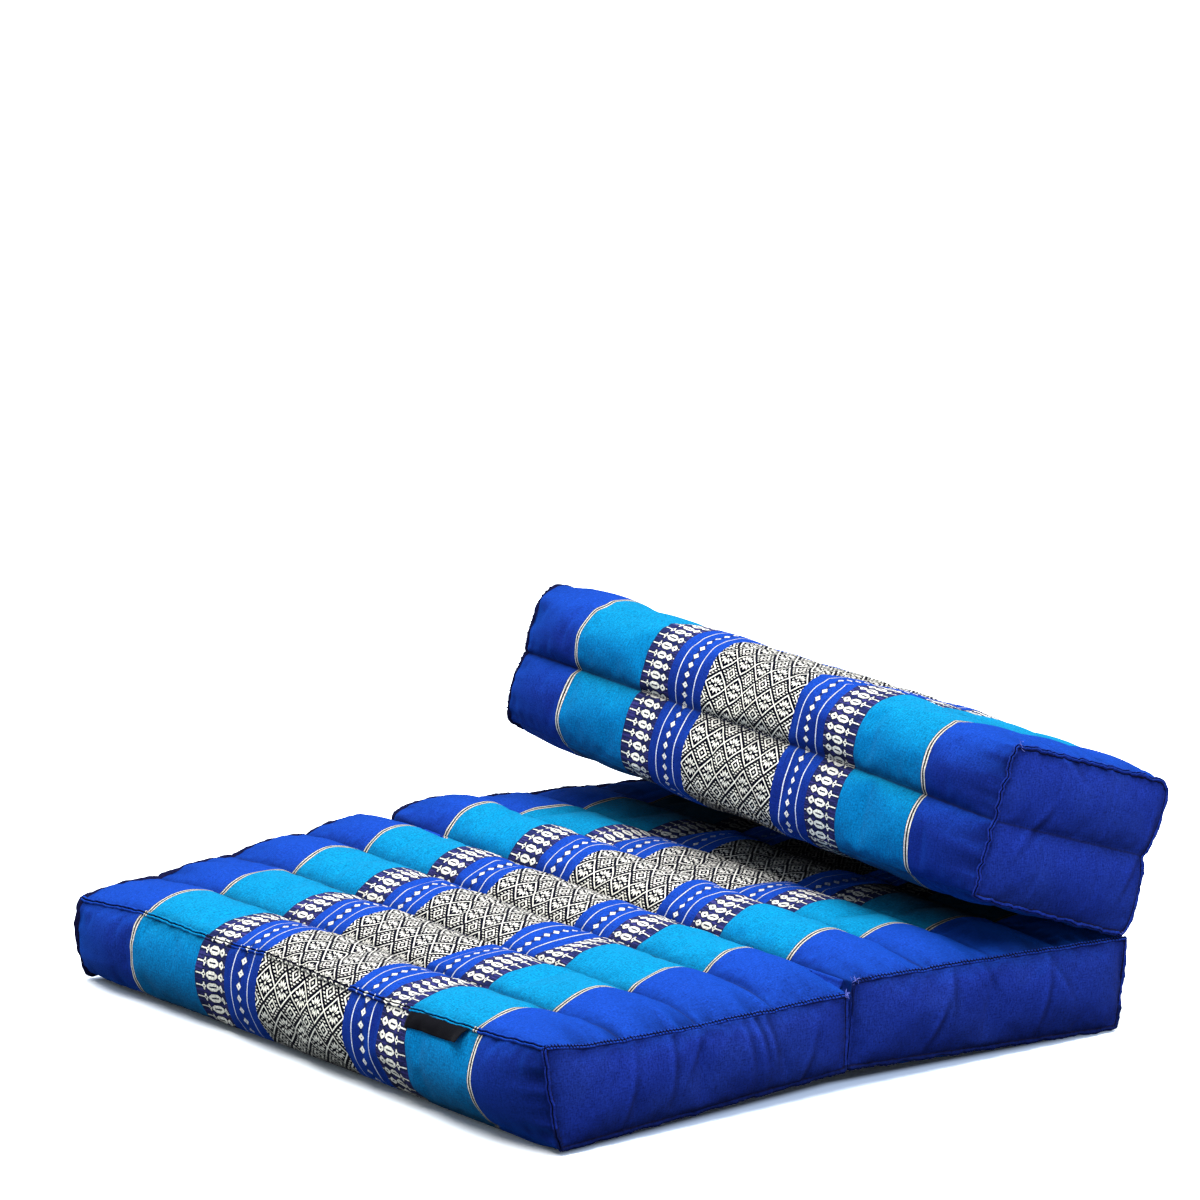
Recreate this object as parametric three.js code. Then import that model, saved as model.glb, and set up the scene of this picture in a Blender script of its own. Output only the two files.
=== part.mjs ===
import * as THREE from 'three';

// Foldable meditation cushion: two quilted floor mats lying one behind the other and a seat block
// that leans over the rear one, joined by cloth hinges. Millimetres, +Z up, X along the width and
// the front towards -Y. Each pad is one filled solid with its sewn channels.

// Driving dimensions
const width = 720;              // of every pad, between its two end seams
const clothThickness = 1.2;     // of the hinge strips
const labelThickness = 1.0;
const clearance = 0.5;          // between a strip and the pads that it is sewn to
const endBulge = 7;             // how far an end panel stands proud of its seam
const endFade = 70;             // length over which the channels flatten out towards an end seam
const seamScallop = { left: 0.28, right: 0.12 }; // share of a channel's height left at each end seam
const lobePower = 0.6;          // below 1 makes a channel full, with a sharp crease beside it
const contactHalfWidth = 310;   // the flat underside reaches this far from the middle
const depthOfOrigin = 5.25;        // from the valley between the mats to the middle of the whole depth
const stepsPerSide = { front: 10, top: 28, rear: 10, bottom: 18 };
const blockSteps = { front: 16, top: 24, rear: 16, bottom: 24 };

// Where the cloth turns along the width: depth y and height z at the left end, middle and right end.
const frontMatEdges = {
  frontBottom: { left: { y: -351, z: 4 }, middle: { y: -341, z: 6 }, right: { y: -329, z: 7 } },
  frontTop: { left: { y: -361, z: 80 }, middle: { y: -351, z: 90 }, right: { y: -346, z: 98 } },
  rearTop: { left: { y: -18, z: 100 }, middle: { y: -15, z: 99 }, right: { y: -16, z: 96 } },
  rearBottom: { left: { y: -12, z: 18 }, middle: { y: -11, z: 20 }, right: { y: -16, z: 23 } },
};
const backMatEdges = {
  frontBottom: { left: { y: -2, z: 18 }, middle: { y: -2, z: 20 }, right: { y: -9, z: 23 } },
  frontTop: { left: { y: 2, z: 100 }, middle: { y: 2, z: 99 }, right: { y: 2, z: 101 } },
  rearTop: { left: { y: 332, z: 90 }, middle: { y: 333, z: 91 }, right: { y: 327, z: 90 } },
  rearBottom: { left: { y: 322, z: 4 }, middle: { y: 323, z: 5 }, right: { y: 319, z: 4 } },
};
const blockEdges = {
  frontBottom: { left: { y: 142, z: 183 }, middle: { y: 133, z: 170 }, right: { y: 139, z: 159 } },
  frontTop: { left: { y: 194, z: 311 }, middle: { y: 187, z: 303 }, right: { y: 187, z: 291 } },
  rearTop: { left: { y: 380, z: 231 }, middle: { y: 377, z: 235 }, right: { y: 369, z: 229 } },
  rearBottom: { left: { y: 330, z: 101 }, middle: { y: 330, z: 100 }, right: { y: 326, z: 99 } },
};

// The channels of each side, in the order of the outline: how far a channel's crest, and the crease
// after it, stand out from the straight line between the side's two edges.
const frontMatSides = {
  front: [{ crest: 19, crease: 0 }],
  top: [{ crest: 13, crease: 1 }, { crest: 16, crease: 4 }, { crest: 21, crease: 7 }, { crest: 24, crease: 0 }],
  rear: [{ crest: 5, crease: 0 }],
};
const backMatSides = {
  front: [{ crest: 3, crease: 0 }],
  top: [{ crest: 27, crease: 8 }, { crest: 19, crease: 6 }, { crest: 13, crease: 3 }, { crest: 6, crease: 0 }],
  rear: [{ crest: 15, crease: 0 }],
};
const blockSides = {
  front: [{ crest: 17, crease: 9 }, { crest: 17, crease: 0 }],
  top: [{ crest: 12, crease: 6 }, { crest: 14, crease: 6 }, { crest: 12, crease: 0 }],
  rear: [{ crest: 14, crease: 7 }, { crest: 14, crease: 0 }],
  bottom: [{ crest: 6, crease: 3 }, { crest: 9, crease: 4 }, { crest: 10, crease: 0 }],
};

const outlineOrder = [
  { side: 'front', from: 'frontBottom', to: 'frontTop' },
  { side: 'top', from: 'frontTop', to: 'rearTop' },
  { side: 'rear', from: 'rearTop', to: 'rearBottom' },
  { side: 'bottom', from: 'rearBottom', to: 'frontBottom' },
];
const flatEdges = {
  mat_front: { roundFront: 26, flatFrom: -314, flatTo: -130 },
  mat_back: { roundRear: 24, flatFrom: 120, flatTo: 299 },
};
const crossStations = [360, 352, 340, 325, 310, 280, 190, 95];

const colours = { cloth: 0x1f3fc4, hinge: 0x2440a8, label: 0x0b0b0d };

// A smooth value along the width through its three named places.
function alongWidth(edge, axis, x) {
  const s = x / (width / 2);
  return edge.left[axis] * s * (s - 1) / 2 + edge.middle[axis] * (1 - s * s) + edge.right[axis] * s * (s + 1) / 2;
}

// Share of the channel height at a place across the width, falling to a scallop at the end seams.
function fullness(x) {
  const reach = Math.min(1, (width / 2 - Math.abs(x)) / endFade);
  const scallop = x < 0 ? seamScallop.left : seamScallop.right;
  return scallop + (1 - scallop) * (1 - (1 - reach) ** 2);
}

// How far the cloth stands out at the share t of a side that is sewn into channels.
function channelHeight(channels, t) {
  const index = Math.min(channels.length - 1, Math.floor(t * channels.length));
  const u = t * channels.length - index;
  const before = index > 0 ? channels[index - 1].crease : 0;
  const { crest, crease } = channels[index];
  const base = before + (crease - before) * u;
  return base + (crest - (before + crease) / 2) * (4 * u * (1 - u)) ** lobePower;
}

// The underside of a mat at depth y: flat on the floor, rounded up at its free edge and lifted
// towards the hinge between the mats.
function underside(pad, y, low, high) {
  const { roundFront, roundRear, flatFrom, flatTo } = flatEdges[pad.name];
  if (y < flatFrom) {
    const share = (flatFrom - y) / (roundFront ?? flatFrom - low.y);
    return low.z * share ** 2;
  }
  if (y > flatTo) {
    const share = (y - flatTo) / (roundRear ?? high.y - flatTo);
    return high.z * share ** 2;
  }
  return 0;
}

function bottomPoints(pad, x, from, to) {
  const { flatFrom, flatTo } = flatEdges[pad.name];
  const edgeSteps = 5;
  const flatSteps = pad.steps.bottom - 2 * edgeSteps;
  const depths = [];
  for (let i = 0; i < edgeSteps; i += 1) depths.push(from.y + (flatTo - from.y) * i / edgeSteps);
  for (let i = 0; i < flatSteps; i += 1) depths.push(flatTo + (flatFrom - flatTo) * i / flatSteps);
  for (let i = 0; i < edgeSteps; i += 1) depths.push(flatFrom + (to.y - flatFrom) * i / edgeSteps);
  const lift = Math.max(0, (Math.abs(x) - contactHalfWidth) / (width / 2 - contactHalfWidth)) ** 2;
  return depths.map((y) => {
    const straight = from.z + (to.z - from.z) * (from.y - y) / (from.y - to.y);
    const rest = underside(pad, y, to, from);
    return { y, z: rest + (straight - rest) * lift };
  });
}

// The closed outline of a pad at the place x across the width, as depth and height.
function outline(pad, x) {
  const points = [];
  for (const { side, from, to } of outlineOrder) {
    const a = { y: alongWidth(pad.edges[from], 'y', x), z: alongWidth(pad.edges[from], 'z', x) };
    const b = { y: alongWidth(pad.edges[to], 'y', x), z: alongWidth(pad.edges[to], 'z', x) };
    if (side === 'bottom' && !pad.sides.bottom) {
      points.push(...bottomPoints(pad, x, a, b).map((p) => ({ ...p, side })));
      continue;
    }
    const length = Math.hypot(b.y - a.y, b.z - a.z);
    const out = { y: (a.z - b.z) / length, z: (b.y - a.y) / length };
    for (let i = 0; i < pad.steps[side]; i += 1) {
      const t = i / pad.steps[side];
      const height = channelHeight(pad.sides[side], t) * fullness(x);
      points.push({ y: a.y + (b.y - a.y) * t + out.y * height, z: a.z + (b.z - a.z) * t + out.z * height, side });
    }
  }
  return points;
}

// Joins rings of equal point counts, given from -X to +X, into one closed shell. closeEnd returns the
// triangles of an end from the indices of its ring.
function shell(rings, closeStart, closeEnd) {
  const count = rings[0].length;
  const positions = rings.flat().flatMap((p) => [p.x, p.y, p.z]);
  const faces = [];
  for (let ring = 0; ring + 1 < rings.length; ring += 1) {
    for (let i = 0; i < count; i += 1) {
      const a = ring * count + i;
      const c = ring * count + (i + 1) % count;
      faces.push(a, a + count, c, a + count, c + count, c);
    }
  }
  const last = (rings.length - 1) * count;
  faces.push(...closeStart(0, positions), ...closeEnd(last, positions));
  const geometry = new THREE.BufferGeometry();
  geometry.setAttribute('position', new THREE.Float32BufferAttribute(positions, 3));
  geometry.setIndex(faces);
  geometry.computeVertexNormals();
  return geometry;
}

// A filled pad: its outlines across the width, closed by two end panels that stand slightly proud.
function filledPad(pad) {
  const stations = mirrored(crossStations);
  const rings = stations.map((x) => outline(pad, x).map(({ y, z }) => ({ x, y, z })));
  const endRings = (ring, direction) => {
    const middle = centreOf(ring);
    return [0.85, 0.45].map((share) => ring.map((p) => ({
      x: p.x + direction * endBulge * (1 - share ** 2),
      y: middle.y + (p.y - middle.y) * share,
      z: middle.z + (p.z - middle.z) * share,
    })));
  };
  const leftRings = endRings(rings[0], -1).reverse();
  const rightRings = endRings(rings[rings.length - 1], 1);
  const all = [...leftRings, ...rings, ...rightRings];
  const count = all[0].length;
  const fan = (ring, direction, flip) => (first, positions) => {
    const middle = centreOf(ring);
    const tip = positions.length / 3;
    positions.push(ring[0].x + direction * endBulge * 0.2, middle.y, middle.z);
    const faces = [];
    for (let i = 0; i < count; i += 1) {
      const a = first + i;
      const b = first + (i + 1) % count;
      faces.push(...(flip ? [tip, a, b] : [a, tip, b]));
    }
    return faces;
  };
  return shell(all, fan(all[0], -1, true), fan(all[all.length - 1], 1, false));
}

function centreOf(ring) {
  const sum = ring.reduce((total, p) => ({ y: total.y + p.y, z: total.z + p.z }), { y: 0, z: 0 });
  return { y: sum.y / ring.length, z: sum.z / ring.length };
}

// A strip of cloth: route(x) gives its inner face as depth and height, and the strip is built up
// by its thickness on the left of that route.
function clothStrip(stations, route, thickness) {
  const rings = stations.map((x) => {
    const inner = route(x);
    const outer = offsetLeft(inner, thickness);
    return [...inner, ...outer.reverse()].map(({ y, z }) => ({ x, y, z }));
  });
  const count = rings[0].length;
  const ladder = (flip) => (first) => {
    const faces = [];
    for (let i = 0; i + 1 < count / 2; i += 1) {
      const a = first + i;
      const b = first + i + 1;
      const c = first + count - 2 - i;
      const d = first + count - 1 - i;
      faces.push(...(flip ? [a, b, c, a, c, d] : [a, c, b, a, d, c]));
    }
    return faces;
  };
  return shell(rings.map((ring) => ring.reverse()), ladder(true), ladder(false));
}

// Moves a route sideways, to the left of its direction in the plane of depth and height.
function offsetLeft(points, distance) {
  return points.map((p, i) => {
    const before = points[Math.max(0, i - 1)];
    const after = points[Math.min(points.length - 1, i + 1)];
    const length = Math.hypot(after.y - before.y, after.z - before.z);
    return { y: p.y - (after.z - before.z) / length * distance, z: p.z + (after.y - before.y) / length * distance };
  });
}

const pads = {
  mat_front: { name: 'mat_front', edges: frontMatEdges, sides: frontMatSides, steps: stepsPerSide },
  mat_back: { name: 'mat_back', edges: backMatEdges, sides: backMatSides, steps: stepsPerSide },
  seat_block: { name: 'seat_block', edges: blockEdges, sides: blockSides, steps: blockSteps },
};

// The points of one side of a pad's outline, without its corners.
function sidePoints(pad, side, x) {
  return outline(pad, x).filter((p) => p.side === side).slice(1);
}

// The strip that bridges the valley between the two mats.
function matHinge() {
  const taken = 1;
  const valley = { y: -6.5, z: 101 };
  const route = (x) => [
    ...offsetLeft(sidePoints(pads.mat_front, 'top', x), clearance).slice(-taken),
    valley,
    ...offsetLeft(sidePoints(pads.mat_back, 'top', x), clearance).slice(0, taken),
  ];
  return clothStrip(stripStations(330), route, clothThickness);
}

// The strip behind, from the rear wall of the back mat up to the rear wall of the block.
function blockHinge() {
  const taken = 3;
  const route = (x) => [
    ...offsetLeft(sidePoints(pads.seat_block, 'rear', x), clearance).slice(-taken),
    ...offsetLeft(sidePoints(pads.mat_back, 'rear', x), clearance).slice(0, taken),
  ];
  return clothStrip(stripStations(340), route, clothThickness);
}

// Places across the whole width, from those on its right half.
function mirrored(places) {
  return [...places.map((x) => -x), 0, ...[...places].reverse()];
}

function stripStations(reach) {
  return mirrored(crossStations.filter((x) => x <= reach));
}

// The label tab, caught in the front top seam and curling away from the cloth at its right end.
function labelTab() {
  const label = { left: 167, right: 247, drop: 16, curlFrom: 224, curlOut: 9, steps: 5, stations: 11 };
  const route = (x) => {
    const seam = { y: alongWidth(frontMatEdges.frontTop, 'y', x), z: alongWidth(frontMatEdges.frontTop, 'z', x) };
    const foot = { y: alongWidth(frontMatEdges.frontBottom, 'y', x), z: alongWidth(frontMatEdges.frontBottom, 'z', x) };
    const curl = Math.max(0, (x - label.curlFrom) / (label.right - label.curlFrom)) ** 2;
    const points = [];
    for (let i = 0; i <= label.steps; i += 1) {
      const fall = (label.steps - i) / label.steps;
      const drop = 1 + label.drop * fall;
      const t = 1 - drop / (seam.z - foot.z);
      const wall = foot.y + (seam.y - foot.y) * t - channelHeight(frontMatSides.front, t) * fullness(x);
      points.push({ y: wall - 2 * clearance - curl * label.curlOut * fall, z: seam.z - drop });
    }
    return points;
  };
  const stations = Array.from({ length: label.stations }, (_, i) => (
    label.left + (label.right - label.left) * i / (label.stations - 1)));
  return clothStrip(stations, route, labelThickness);
}

const cushion = new THREE.Group();
cushion.position.y = -depthOfOrigin;

function add(name, geometry, color, roughness) {
  const material = new THREE.MeshStandardMaterial({ color, roughness, metalness: 0 });
  const mesh = new THREE.Mesh(geometry, material);
  mesh.name = name;
  cushion.add(mesh);
}

for (const pad of Object.values(pads)) add(pad.name, filledPad(pad), colours.cloth, 0.85);
add('hinge_mats', matHinge(), colours.hinge, 0.85);
add('hinge_block', blockHinge(), colours.hinge, 0.85);
add('label_tab', labelTab(), colours.label, 0.6);

export default cushion;
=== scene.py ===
import math
import bpy
import numpy as np
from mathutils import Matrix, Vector
from mathutils.bvhtree import BVHTree


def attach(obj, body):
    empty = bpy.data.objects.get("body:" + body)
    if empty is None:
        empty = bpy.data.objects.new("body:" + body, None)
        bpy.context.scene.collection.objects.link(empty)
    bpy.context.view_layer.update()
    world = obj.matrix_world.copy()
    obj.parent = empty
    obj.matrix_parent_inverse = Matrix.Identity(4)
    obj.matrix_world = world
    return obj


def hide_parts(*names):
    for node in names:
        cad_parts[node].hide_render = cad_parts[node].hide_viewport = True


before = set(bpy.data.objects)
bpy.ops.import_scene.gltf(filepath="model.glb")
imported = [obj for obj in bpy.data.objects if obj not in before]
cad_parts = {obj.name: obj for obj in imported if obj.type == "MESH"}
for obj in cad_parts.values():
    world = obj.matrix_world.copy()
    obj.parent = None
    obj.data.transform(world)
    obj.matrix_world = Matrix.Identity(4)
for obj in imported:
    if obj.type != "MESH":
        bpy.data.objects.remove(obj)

scene = bpy.context.scene
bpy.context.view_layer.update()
mm = 0.001

# camera and studio

view = {"azimuth": 53.08, "elevation": 12.62, "lens": 192.84, "distance": 6.0,
        "aim": (-0.0213, -0.00525, 0.3839)}
studio = {"sunColour": (1.0, 0.985, 0.96), "sunStrength": 7.3, "sunAngle": 66, "sunAzimuth": -120,
          "sunHeight": 84, "skyColour": (0.78, 0.88, 1.0), "skyStrength": 0.62}


def aimAt(thing, place, target):
    thing.location = place
    thing.rotation_mode = "QUATERNION"
    thing.rotation_quaternion = (Vector(target) - Vector(place)).to_track_quat("-Z", "Y")


def onSphere(azimuth, elevation, distance):  # azimuth 0 is in front, towards -Y
    turn, rise = math.radians(azimuth), math.radians(elevation)
    flat = math.cos(rise)
    return Vector((math.sin(turn) * flat, -math.cos(turn) * flat, math.sin(rise))) * distance


camera = bpy.data.objects.new("camera", bpy.data.cameras.new("camera"))
scene.collection.objects.link(camera)
camera.data.lens = view["lens"]
camera.data.sensor_width = 36
camera.data.clip_end = 100
seenFrom = onSphere(view["azimuth"], view["elevation"], view["distance"])
aimAt(camera, Vector(view["aim"]) + seenFrom, view["aim"])
scene.camera = camera
scene.view_settings.view_transform = "Standard"

sun = bpy.data.objects.new("softbox", bpy.data.lights.new("softbox", "SUN"))
scene.collection.objects.link(sun)
sun.data.energy = studio["sunStrength"]
sun.data.angle = math.radians(studio["sunAngle"])
sun.data.color = studio["sunColour"]
aimAt(sun, onSphere(180 + studio["sunAzimuth"], studio["sunHeight"], 5), (0, 0, 0))

world = bpy.data.worlds.new("studio")
scene.world = world
world.use_nodes = True
world.node_tree.nodes["Background"].inputs["Color"].default_value = (*studio["skyColour"], 1)
world.node_tree.nodes["Background"].inputs["Strength"].default_value = studio["skyStrength"]
print("camera and studio ready")

# shader maths


class Wire:  # a value in a shader: arithmetic on it adds Math nodes
    def __init__(self, shade, socket):
        self.shade, self.socket = shade, socket

    def maths(self, operation, *others):
        return self.shade.node("ShaderNodeMath", [self, *others], operation=operation)

    def __add__(self, other):
        return self.maths("ADD", other)

    def __sub__(self, other):
        return self.maths("SUBTRACT", other)

    def __mul__(self, other):
        return self.maths("MULTIPLY", other)

    def __rsub__(self, other):
        return self.shade.node("ShaderNodeMath", [other, self], operation="SUBTRACT")

    def __lt__(self, other):
        return self.maths("LESS_THAN", other)

    def __gt__(self, other):
        return self.maths("GREATER_THAN", other)

    def __and__(self, other):
        return self.maths("MINIMUM", other)

    def __or__(self, other):
        return self.maths("MAXIMUM", other)

    def __abs__(self):
        return self.maths("ABSOLUTE")

    __radd__, __rmul__ = __add__, __mul__

    def apart(self, pitch):  # distance to the nearest multiple of pitch
        return self.maths("PINGPONG", pitch / 2)

    def within(self, low, high):
        return (self > low) & (self < high)


class Shade:  # one material and the nodes in it
    def __init__(self, name):
        self.material = bpy.data.materials.new(name)
        self.material.use_nodes = True
        self.tree = self.material.node_tree
        self.skin = self.tree.nodes["Principled BSDF"]

    def node(self, kind, inputs=(), output=0, **settings):
        made = self.tree.nodes.new(kind)
        for name, value in settings.items():
            setattr(made, name, value)
        pairs = inputs.items() if isinstance(inputs, dict) else enumerate(inputs)
        for key, value in pairs:
            self.set(made.inputs[key], value)
        return Wire(self, made.outputs[output])

    def set(self, socket, value):
        if isinstance(value, Wire):
            self.tree.links.new(value.socket, socket)
        elif hasattr(value, "__len__") and len(value) == 3 and socket.type == "RGBA":
            socket.default_value = (*value, 1)
        else:
            socket.default_value = value

    def blend(self, low, high, share, mode="MIX"):  # of two colours
        return self.node("ShaderNodeMix", {0: share, 6: low, 7: high}, output=2, data_type="RGBA",
                         blend_type=mode)

    def noise(self, place, scale, detail=2, roughness=0.5, stretch=None):
        if stretch:
            place = self.node("ShaderNodeVectorMath", [place, stretch], operation="MULTIPLY")
        return self.node("ShaderNodeTexNoise", {"Vector": place, "Scale": scale, "Detail": detail,
                                                "Roughness": roughness})

    def finish(self, **values):
        for name, value in values.items():
            self.set(self.skin.inputs[name.replace("_", " ")], value)
        return self.material


# woven cloth

clothColours = {
    # the royal of the end panels is painted light: made lighter, as they take more of the light than the
    # front walls
    "royal": (0.0060, 0.0180, 0.176), "royalEndLit": (0.0088, 0.0250, 0.230),
    "turquoise": (0.0006, 0.158, 0.395), "navy": (0.012, 0.017, 0.075),
    "streak": (0.040, 0.036, 0.170), "dusty": (0.028, 0.070, 0.290),
    "cream": (0.94, 0.92, 0.80), "line": (0.74, 0.79, 0.93), "tan": (0.76, 0.73, 0.66),
    "outline": (0.010, 0.012, 0.040), "ground": (0.002, 0.002, 0.007), "brown": (0.045, 0.034, 0.030),
    # painted light: copies of the same colours for where the cloth faces up, lighter or darker as the light
    # falls on the tops
    "royalUp": (0.006, 0.041, 0.305), "turquoiseUp": (0.001, 0.178, 0.360), "creamUp": (0.60, 0.59, 0.55),
    "lineUp": (0.43, 0.46, 0.56), "tanUp": (0.46, 0.44, 0.40)}
# the bands of the cloth from its middle outwards, in millimetres
lattice = {"pitchAcross": 27.4, "pitchAlong": 32.4, "halfWidth": 68.5, "line": 0.074, "flowerHalf": 13.9,
           "flowerCentre": 1.6, "flowerInside": 0.88, "targetOutside": 1.15,
           "toothStep": 2.6, "toothDrift": 2.76, "toothOut": 11.05, "toothHalf": 2.0, "toothThick": 0.66,
           "targetHeart": 0.145, "targetRing": (0.40, 0.63), "targetTeeth": (0.73, 1.05)}
# turn in degrees, middle, half length and half width of the petals in a quarter of the flower
petals = [(0, 7.9, 1.8, 1.1), (29, 5.9, 3.1, 1.35), (61, 5.4, 3.3, 1.4), (90, 5.8, 3.1, 1.5)]
chain = {"inner": 82.0, "outer": 108.5, "line": 0.64, "edge": 1.2, "centre": 95.5, "pitch": 10.8,
         "halfAcross": 3.7, "halfAlong": 3.6, "surround": 1.32, "hole": 0.22, "joiner": (0.55, 2.2)}
row = {"from": 121.0, "to": 165.5, "flower": 129.5, "dot": 122.7, "ring": 142.0, "cross": 153.2,
       "slimmer": 0.35, "surround": 0.8, "streaks": 0.8}
pinstripe = {"from": 264.0, "to": 270.0, "half": 2.6, "core": 1.05, "edge": 0.7}
# two of these are strengths of painted shade: from the shade attribute, and where the cloth faces down
weave = {"thread": 1.15, "depth": 0.00030, "strength": 0.55, "ragged": 0.5, "wear": 0.50, "roughness": 0.85,
         "gloss": 0.035, "sheen": 0.02, "sheenRoughness": 0.35, "paintedShade": 0.5, "below": 0.9, "quilting": 0.45}
# how much of each unevenness goes into the tone and into the relief
toneShares = {"slub": 2.8, "slubAcross": 2.0, "grain": 4.2, "fade": 0.5, "threads": 0.05}
reliefShares = {"threads": 0.5, "slub": 0.9, "slubAcross": 0.6, "grain": 0.8}
satinSheen = {"weight": 0.5, "roughness": 0.45, "tint": (0.01, 0.17, 1.0)}


def latticeMotif(shade, across, along):
    halfAcross, halfAlong = lattice["pitchAcross"] / 2, lattice["pitchAlong"] / 2
    x, y = across.apart(lattice["pitchAcross"]), along.apart(lattice["pitchAlong"])
    zigzag = x * (1 / halfAcross) + y * (1 / lattice["flowerHalf"])
    line = abs(zigzag - 1) < lattice["line"]

    # a flower of twelve petals inside every diamond of the zigzags
    flower = x + y < lattice["flowerCentre"]
    for degrees, middle, halfLength, halfWidth in petals:
        c, s = math.cos(math.radians(degrees)), math.sin(math.radians(degrees))
        out, aside = x * c + y * s, abs(y * c - x * s)
        flower = flower | (abs(out - middle) * (1 / halfLength) + aside * (1 / halfWidth) < 1)

    # between the zigzags a diamond in a ring, with stepped teeth around it
    p, q = halfAcross - x, halfAlong - y
    step = (q * (1 / lattice["toothStep"]) + 0.5).maths("FLOOR")
    aside = abs(p - lattice["toothOut"] + step * lattice["toothDrift"])
    tooth = (aside < lattice["toothHalf"]) & (abs(q - step * lattice["toothStep"]) < lattice["toothThick"])
    depth = p * (1 / lattice["toothOut"]) + q * (1 / (4 * lattice["toothStep"]))
    target = (depth < lattice["targetHeart"]) | depth.within(*lattice["targetRing"])
    target = target | (tooth & depth.within(*lattice["targetTeeth"]))
    flower = flower & (zigzag < lattice["flowerInside"])
    return line | flower | (target & (zigzag > lattice["targetOutside"]))


# a flower with a dot, a ring, a small cross and its stem in millimetres, then the same grown for an outline
def rowMotif(out, step):
    def figure(grow):
        x = abs(out - row["flower"])
        flower = (x * 0.64 + step < 4.2 + grow) & (x < 4.6 + grow)
        flower = flower | ((x < 1.5 + grow) & (step < 3.9 + grow))
        flower = flower | ((abs(out - row["dot"]) < 1.3 + grow) & (step < 0.9 + grow))
        x = abs(out - row["ring"])
        ring = (x * 0.62 + step < 6.2 + grow) & (x < 7.7 + grow) & (step < 4.2 + grow)
        x = abs(out - row["cross"])
        cross = ((x < 1.3 + grow) & (step < 3.9 + grow)) | (x * 0.95 + step < 3.2 + grow)
        stem = out.within(row["cross"], row["to"] - 0.8 + grow) & (step < 0.95 + grow)
        return flower | ring | cross | stem
    holes = ((abs(out - row["flower"]) * 0.7 + step < 1.2) | ((abs(out - row["ring"]) < 4.2) & (step < 0.75))
             | (abs(out - row["cross"]) * 0.6 + step < 0.95))
    return figure(-row["slimmer"]) & (1 - holes), figure(row["surround"])


def facing(shade):  # how far the cloth faces up, from -1 to 1
    normal = shade.node("ShaderNodeNewGeometry").socket.node.outputs["Normal"]
    return Wire(shade, shade.node("ShaderNodeSeparateXYZ", [Wire(shade, normal)]).socket.node.outputs[2])


def paintedTopLight(shade, colour, upper):  # painted light: between the colour of a wall and its copy for a top, as the light falls there
    top = ((facing(shade) - 0.30) * 1.6).maths("SMOOTH_MIN", 1.0, 0.2)
    return shade.blend(clothColours[colour], clothColours[upper], top)


def wovenCloth():
    shade = Shade("woven cloth")
    uv = shade.node("ShaderNodeUVMap", uv_map="cloth")
    split = shade.node("ShaderNodeSeparateXYZ", [uv]).socket.node
    across, along = Wire(shade, split.outputs[0]) * 1000, Wire(shade, split.outputs[1]) * 1000
    place = shade.node("ShaderNodeVectorMath", [uv, (1000.0, 1000.0, 0.0)], operation="MULTIPLY")
    # thread ends step the edges of every figure
    ragged = (shade.noise(place, 0.9, 1) - 0.5) * weave["ragged"]
    out = abs(across) + ragged
    c = dict(clothColours)
    # painted light: where the cloth faces up these colours turn into their copies for the tops
    for name in ("royal", "turquoise", "cream", "line", "tan"):
        c[name] = paintedTopLight(shade, name, name + "Up")

    creamOnLattice = latticeMotif(shade, across + ragged, along + ragged)
    cell = shade.blend(c["ground"], c["cream"], creamOnLattice)

    # blue band with two lines and a chain of diamonds
    toLine = abs(out - (chain["inner"] + chain["outer"]) / 2) - (chain["outer"] - chain["inner"]) / 2
    band = shade.blend(c["royal"], c["outline"], abs(toLine) < chain["edge"])
    band = shade.blend(band, c["line"], abs(toLine) < chain["line"])
    step = (along + ragged).apart(chain["pitch"])
    aside = abs(out - chain["centre"])
    link = aside * (1 / chain["halfAcross"]) + step * (1 / chain["halfAlong"])
    thick, reach = chain["joiner"]
    joiner = (abs((chain["pitch"] / 2 - step) - aside * 0.5) < thick) & (aside < reach)
    band = shade.blend(band, c["outline"], (link < chain["surround"]) | joiner)
    band = shade.blend(band, c["cream"], link.within(chain["hole"], 1.0))

    # navy band with rows of flower, ring and cross
    step = (along + ragged * 0.8).apart(chain["pitch"])
    figure, around = rowMotif(out, step)
    weft = shade.noise(place, 1.0, 2, stretch=(0.035, 0.55, 1))
    navy = shade.blend(c["navy"], c["streak"], (weft > 0.55) * row["streaks"])
    rows = shade.blend(navy, c["outline"], around)
    rows = shade.blend(rows, c["cream"], figure)

    stripe = abs(out - (pinstripe["from"] + pinstripe["to"]) / 2)
    strip = shade.blend(c["brown"], c["tan"], stripe > pinstripe["core"])

    colour = shade.blend(cell, band, out > lattice["halfWidth"])
    colour = shade.blend(colour, rows, out > row["from"])
    colour = shade.blend(colour, c["turquoise"], out > row["to"])
    colour = shade.blend(colour, c["royal"], out > pinstripe["to"])
    colour = shade.blend(colour, c["outline"], stripe < pinstripe["half"] + pinstripe["edge"])
    colour = shade.blend(colour, strip, stripe < pinstripe["half"])
    # painted shade from the shade attribute and where it faces down, and the quilting thread
    colour = paintShadeAndThread(shade, colour)
    blueBand = out.within(lattice["halfWidth"], row["from"])
    return dressCloth(shade, colour, place, silky=(out > pinstripe["to"]) | blueBand)


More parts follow.
